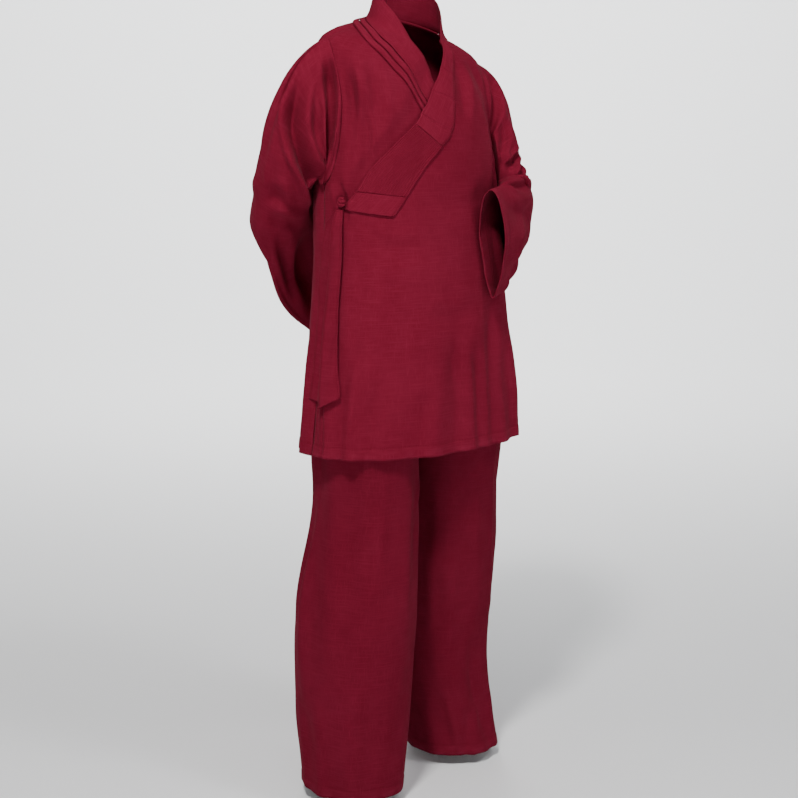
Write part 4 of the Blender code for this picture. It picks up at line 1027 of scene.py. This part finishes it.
def makeLeg(name, leg):
    side, rows, turnSize = leg["side"], leg["rows"], trousers["turnSize"]
    above = np.linspace(trousers["top"], trousers["crotch"], int(0.325 / trousers["cell"]))
    below = np.linspace(trousers["crotch"], trousers["hem"], int(0.685 / trousers["cell"]))[1:]
    heights = np.concatenate([above, below])[:, None]

    def value(word):
        return column(legColumns, rows, word, heights)

    inner = np.clip(side * value("x") / value("halfWidth"), 0.0, 1.0)
    first = np.degrees(np.arccos(inner)) * (heights > trousers["crotch"])
    turn = first + (360.0 - 2 * first) * np.linspace(0.0, 1.0, 127)[None, :]
    height = heights + 0 * turn
    rise = largeFolds(leg["large"], turn, heights, turnSize, 1.0)
    rise = rise + creases(leg["fine"], turn, heights, turnSize, lambda place: place, trousers["creaseStrength"])
    around = np.radians(turn)
    rumple = softNoise(np.cos(around) * 2.2 + 3, height / 0.13 + np.sin(around) * 2.2, 31 + side)
    rumple = rumple + 0.4 * softNoise(np.cos(around) * 5 + 3, height / 0.05 + np.sin(around) * 5, 33 + side)
    rise = rise + trousers["rumple"] * rumple + hemRise(heights - trousers["hem"])
    x = value("x") - side * (value("halfWidth") + rise) * np.cos(around)
    y = value("y") - (value("halfDepth") + rise) * np.sin(around)
    x = side * np.maximum(side * x, gown["seam"] / 2)
    points = np.stack([x, y, height], axis=-1)
    waist = bodyPoint(side * (turn - 90.0), levelAt(heights), waistOut())
    waist[..., 0] = side * np.maximum(side * waist[..., 0], gown["seam"] / 2)
    waist[..., 2] = heights
    worn = ease(trousers["top"] - 0.10, trousers["top"] - 0.01, heights)[..., None]
    points = points * (1 - worn) + waist * worn
    uv = np.stack([around * turnSize, height], axis=-1)
    stitch = np.stack([uv[..., 0], height - trousers["hem"] - gown["hemBand"]], axis=-1)
    if side < 0:
        points, uv, stitch = points[:, ::-1], uv[:, ::-1], stitch[:, ::-1]
    welded = [r for r, h in enumerate(heights[::-1, 0]) if h < trousers["crotch"] + 1e-6]
    return clothPiece(name, points[::-1], uv[::-1], stitch[::-1], weldedRows=welded)


def makeWaistband():
    top = trousers["top"]
    heights = np.linspace(top + gown["seam"], top + trousers["bandDepth"], 10)[:, None]
    angle = np.linspace(0.0, 360.0, 181)[None, :]
    points = bodyPoint(angle[:, :-1], levelAt(heights), waistOut())
    points[..., 2] = heights
    uv = np.stack([np.radians(angle) * gownFolds["turnSize"] + 0 * heights, heights + 0 * angle], axis=-1)
    edge = np.minimum(uv[..., 1] - heights[0], heights[-1] - uv[..., 1])
    stitch = np.stack([uv[..., 0], edge - 0.004], axis=-1)
    return clothPiece("waistbandCloth", points, uv, stitch, closed=True)


gownCloth = clothMaterial("gown cloth")
underCloth = clothMaterial("under front cloth", 0.97)
collarCloth = clothMaterial("collar cloth", 1.04, slubs=0.36)
lapelQuilt = clothMaterial("quilted lapel cloth", 1.02, stitchLength=0.0030, stitchWidth=0.00045)
tieCloth = clothMaterial("tie cloth", 0.98, threads=1100.0)
# the trousers are the gown's own cloth; 0.82 darkens it as painted shade, standing in for the lesser light on the
# legs
trouserClothInPaintedShade = clothMaterial("trouser cloth darkened as painted shade", 0.82, dye=0.30)

lapelStart, bindingStart = overCollar["lapelStart"], overCollar["bindingStart"]
overRows, underRows = overCollar["rows"], underCollar["rows"]
endGap = overCollar["endGap"]
overAt = evenStations(overRows, 0.01, lapelStart - endGap, 0.0014)
underAt = evenStations(underRows, 0.01, 12.0, 0.0025)
lipAt = evenStations(underRows, 0.01, underCollar["lipEnd"], 0.0025)
bindingAt = evenStations(overRows, bindingStart + endGap, 15.0, 0.0018)


def lip(number):
    # one narrow lip, its place counted outwards from the under collar's seam
    width = column(("station", "width"), underCollar["lips"], "width", lipAt)[:, None]
    start = 1.0 + (number - 1) * width + 0.02
    return band("collarLip%d" % number, underRows, lipAt, start, start + width - 0.02, 9, onUnder, 0.0014,
                stitchIn=0.0)


# Each piece with its material, its flat cut in metres and how it is held.
pieces = {
    "back": (panel("backPanel", sideSeam(1, 1), backTo, 136, outer), gownCloth,
             dict(flat=(0.62, 0.80), area=0.43, held="hung")),
    "right_front": (panel("rightFrontPanel", sideSeam(-1, -1), edgeOf(underEdge), 100, underOut), underCloth,
                    dict(flat=(0.48, 0.80), area=0.28, held="hung")),
    "left_front": (panel("leftFrontPanel", edgeOf(overEdge), sideSeam(1, -1), 124, outer), gownCloth,
                   dict(flat=(0.58, 0.80), area=0.33, held="hung")),
    "over_collar": (band("overCollarBand", overRows, overAt, 0.0, 1.0, 29, onFront, 0.0010,
                         joins=overCollar["joins"], flip=True), collarCloth,
                    dict(flat=(0.055, 0.50), area=0.021, held="folded")),
    "under_collar": (band("underCollarBand", underRows, underAt, 0.0, 1.0, 25, onUnder, 0.0010), collarCloth,
                     dict(flat=(0.055, 0.60), area=0.021, held="folded")),
    "collar_lip_1": (lip(1), collarCloth, dict(flat=(0.0105, 0.46), held="folded")),
    "collar_lip_2": (lip(2), collarCloth, dict(flat=(0.0105, 0.48), held="folded")),
    "lapel": (makeLapel(), lapelQuilt, dict(flat=(0.100, 0.12), held="folded")),
    "lapel_binding": (band("lapelBinding", overRows, bindingAt, 0.0, 1.0, 60, onFront, 0.0008, flip=True),
                      collarCloth, dict(flat=(0.105, 0.035), held="folded")),
    "front_ribbon": (makeRibbon("frontRibbon", tie["front"], 1), tieCloth,
                     dict(flat=(0.033, 0.34), held="hung")),
    "back_ribbon": (makeRibbon("backRibbon", tie["back"], 2), tieCloth,
                    dict(flat=(0.035, 0.34), held="hung")),
    "tie_knot": (makeKnot(), tieCloth, None),
    "left_sleeve": (makeSleeve("leftSleeve", leftSleeve), gownCloth,
                    dict(flat=(0.46, 0.46), area=0.17, held="hung")),
    "right_sleeve": (makeSleeve("rightSleeve", rightSleeve), gownCloth,
                     dict(flat=(0.48, 0.50), area=0.22, held="hung")),
    "right_leg": (makeLeg("rightLeg", rightLeg), trouserClothInPaintedShade,
                  dict(flat=(0.76, 1.02), area=0.68, held="hung")),
    "left_leg": (makeLeg("leftLeg", leftLeg), trouserClothInPaintedShade,
                 dict(flat=(0.76, 1.02), area=0.68, held="hung")),
    "waistband": (makeWaistband(), trouserClothInPaintedShade, dict(flat=(0.96, 0.040), held="gathered")),
}
for node, (piece, material, cut) in pieces.items():
    wear(piece, (node,), material)
    area = sum(face.area for face in piece.data.polygons)
    print("dressed", node, "outer cloth %.4f square metres" % area)


studio = {
    "floor": -1.453, "flat": (0.0, 1.5, 3.5, 5.2), "cove": 2.3, "rim": 3.2, "colour": (0.90, 0.905, 0.91, 1.0),
    "roughness": 0.8, "shine": 0.2, "sky": (0.93, 0.96, 1.0, 1.0), "skyStrength": 0.17,
    "lens": 72.05, "sensor": 36.0, "clipEnd": 40.0,
    "height": -0.128, "distance": 3.0, "turn": -38.0, "down": 10.75, "aside": -0.0185,
    # each light: place, aim, size, power, colour
    "lights": {
        "keyLight": ((-1.75, -1.35, 2.3), (0, 0, -0.3), 0.5, 112.0, (1.0, 0.98, 0.97)),
        "fillLight": ((0.9, -2.6, 2.7), (0.1, 0, 0.1), 0.9, 46.0, (0.97, 0.98, 1.0)),
        "wallLight": ((2.1, 2.7, 3.4), (5.2, 6.6, 0.2), 3.0, 600.0, (1.0, 1.0, 1.0)),
        "frontWallLight": ((-2.1, -2.7, 4.2), (-5.2, -6.6, 0.4), 3.0, 300.0, (1.0, 1.0, 1.0)),
        "rearLight": ((1.8, 3.4, 2.4), (0, 0, -0.3), 2.0, 60.0, (1.0, 1.0, 1.0)),
    },
}


def makeFloor():
    # a pale floor that curves up far off all round, like a studio's painted cove
    edge, cove = studio["flat"][-1], studio["cove"]
    bend = np.linspace(0.15, math.pi / 2, 10)
    outline = [(r, 0.0) for r in studio["flat"]]
    outline += [(edge + cove * math.sin(a), cove - cove * math.cos(a)) for a in bend]
    outline.append((edge + cove, studio["rim"]))
    shape = bmesh.new()
    spun = [shape.verts.new((r, 0.0, h + studio["floor"])) for r, h in outline]
    edges = [shape.edges.new(pair) for pair in zip(spun[:-1], spun[1:])]
    bmesh.ops.spin(shape, geom=spun + edges, cent=(0, 0, 0), axis=(0, 0, 1), angle=2 * math.pi, steps=96)
    bmesh.ops.remove_doubles(shape, verts=shape.verts, dist=1e-4)
    bmesh.ops.recalc_face_normals(shape, faces=shape.faces)
    mesh = bpy.data.meshes.new("studioFloor")
    shape.to_mesh(mesh)
    shape.free()
    mesh.shade_smooth()
    floor = bpy.data.objects.new("studioFloor", mesh)
    bpy.context.scene.collection.objects.link(floor)
    paint = bpy.data.materials.new("pale floor")
    paint.use_nodes = True
    finish = paint.node_tree.nodes["Principled BSDF"]
    finish.inputs["Base Color"].default_value = studio["colour"]
    finish.inputs["Roughness"].default_value = studio["roughness"]
    finish.inputs["Specular IOR Level"].default_value = studio["shine"]
    mesh.materials.append(paint)


def makeLight(name, place, aim, size, power, colour):
    light = bpy.data.lights.new(name, "AREA")
    light.shape = "DISK"
    light.size = size
    light.energy = power
    light.color = colour
    lamp = bpy.data.objects.new(name, light)
    lamp.location = place
    lamp.rotation_euler = (Vector(aim) - Vector(place)).to_track_quat("-Z", "Y").to_euler()
    bpy.context.scene.collection.objects.link(lamp)


def makeCamera():
    turn, down = math.radians(studio["turn"]), math.radians(studio["down"])
    ahead = Vector((-math.sin(turn), math.cos(turn), 0))
    right = Vector((math.cos(turn), math.sin(turn), 0))
    camera = bpy.data.objects.new("camera", bpy.data.cameras.new("camera"))
    camera.data.sensor_width = studio["sensor"]
    camera.data.lens = studio["lens"]
    camera.data.clip_end = studio["clipEnd"]
    camera.location = -ahead * studio["distance"] + right * studio["aside"] + Vector((0, 0, studio["height"]))
    look = ahead * math.cos(down) - Vector((0, 0, 1)) * math.sin(down)
    camera.rotation_euler = look.to_track_quat("-Z", "Y").to_euler()
    bpy.context.scene.collection.objects.link(camera)
    bpy.context.scene.camera = camera


makeFloor()
makeCamera()
for name, settings in studio["lights"].items():
    makeLight(name, *settings)
sky = bpy.data.worlds.new("sky")
sky.use_nodes = True
background = sky.node_tree.nodes["Background"]
background.inputs["Color"].default_value = studio["sky"]
background.inputs["Strength"].default_value = studio["skyStrength"]
bpy.context.scene.world = sky
print("stage, camera and lights ready")
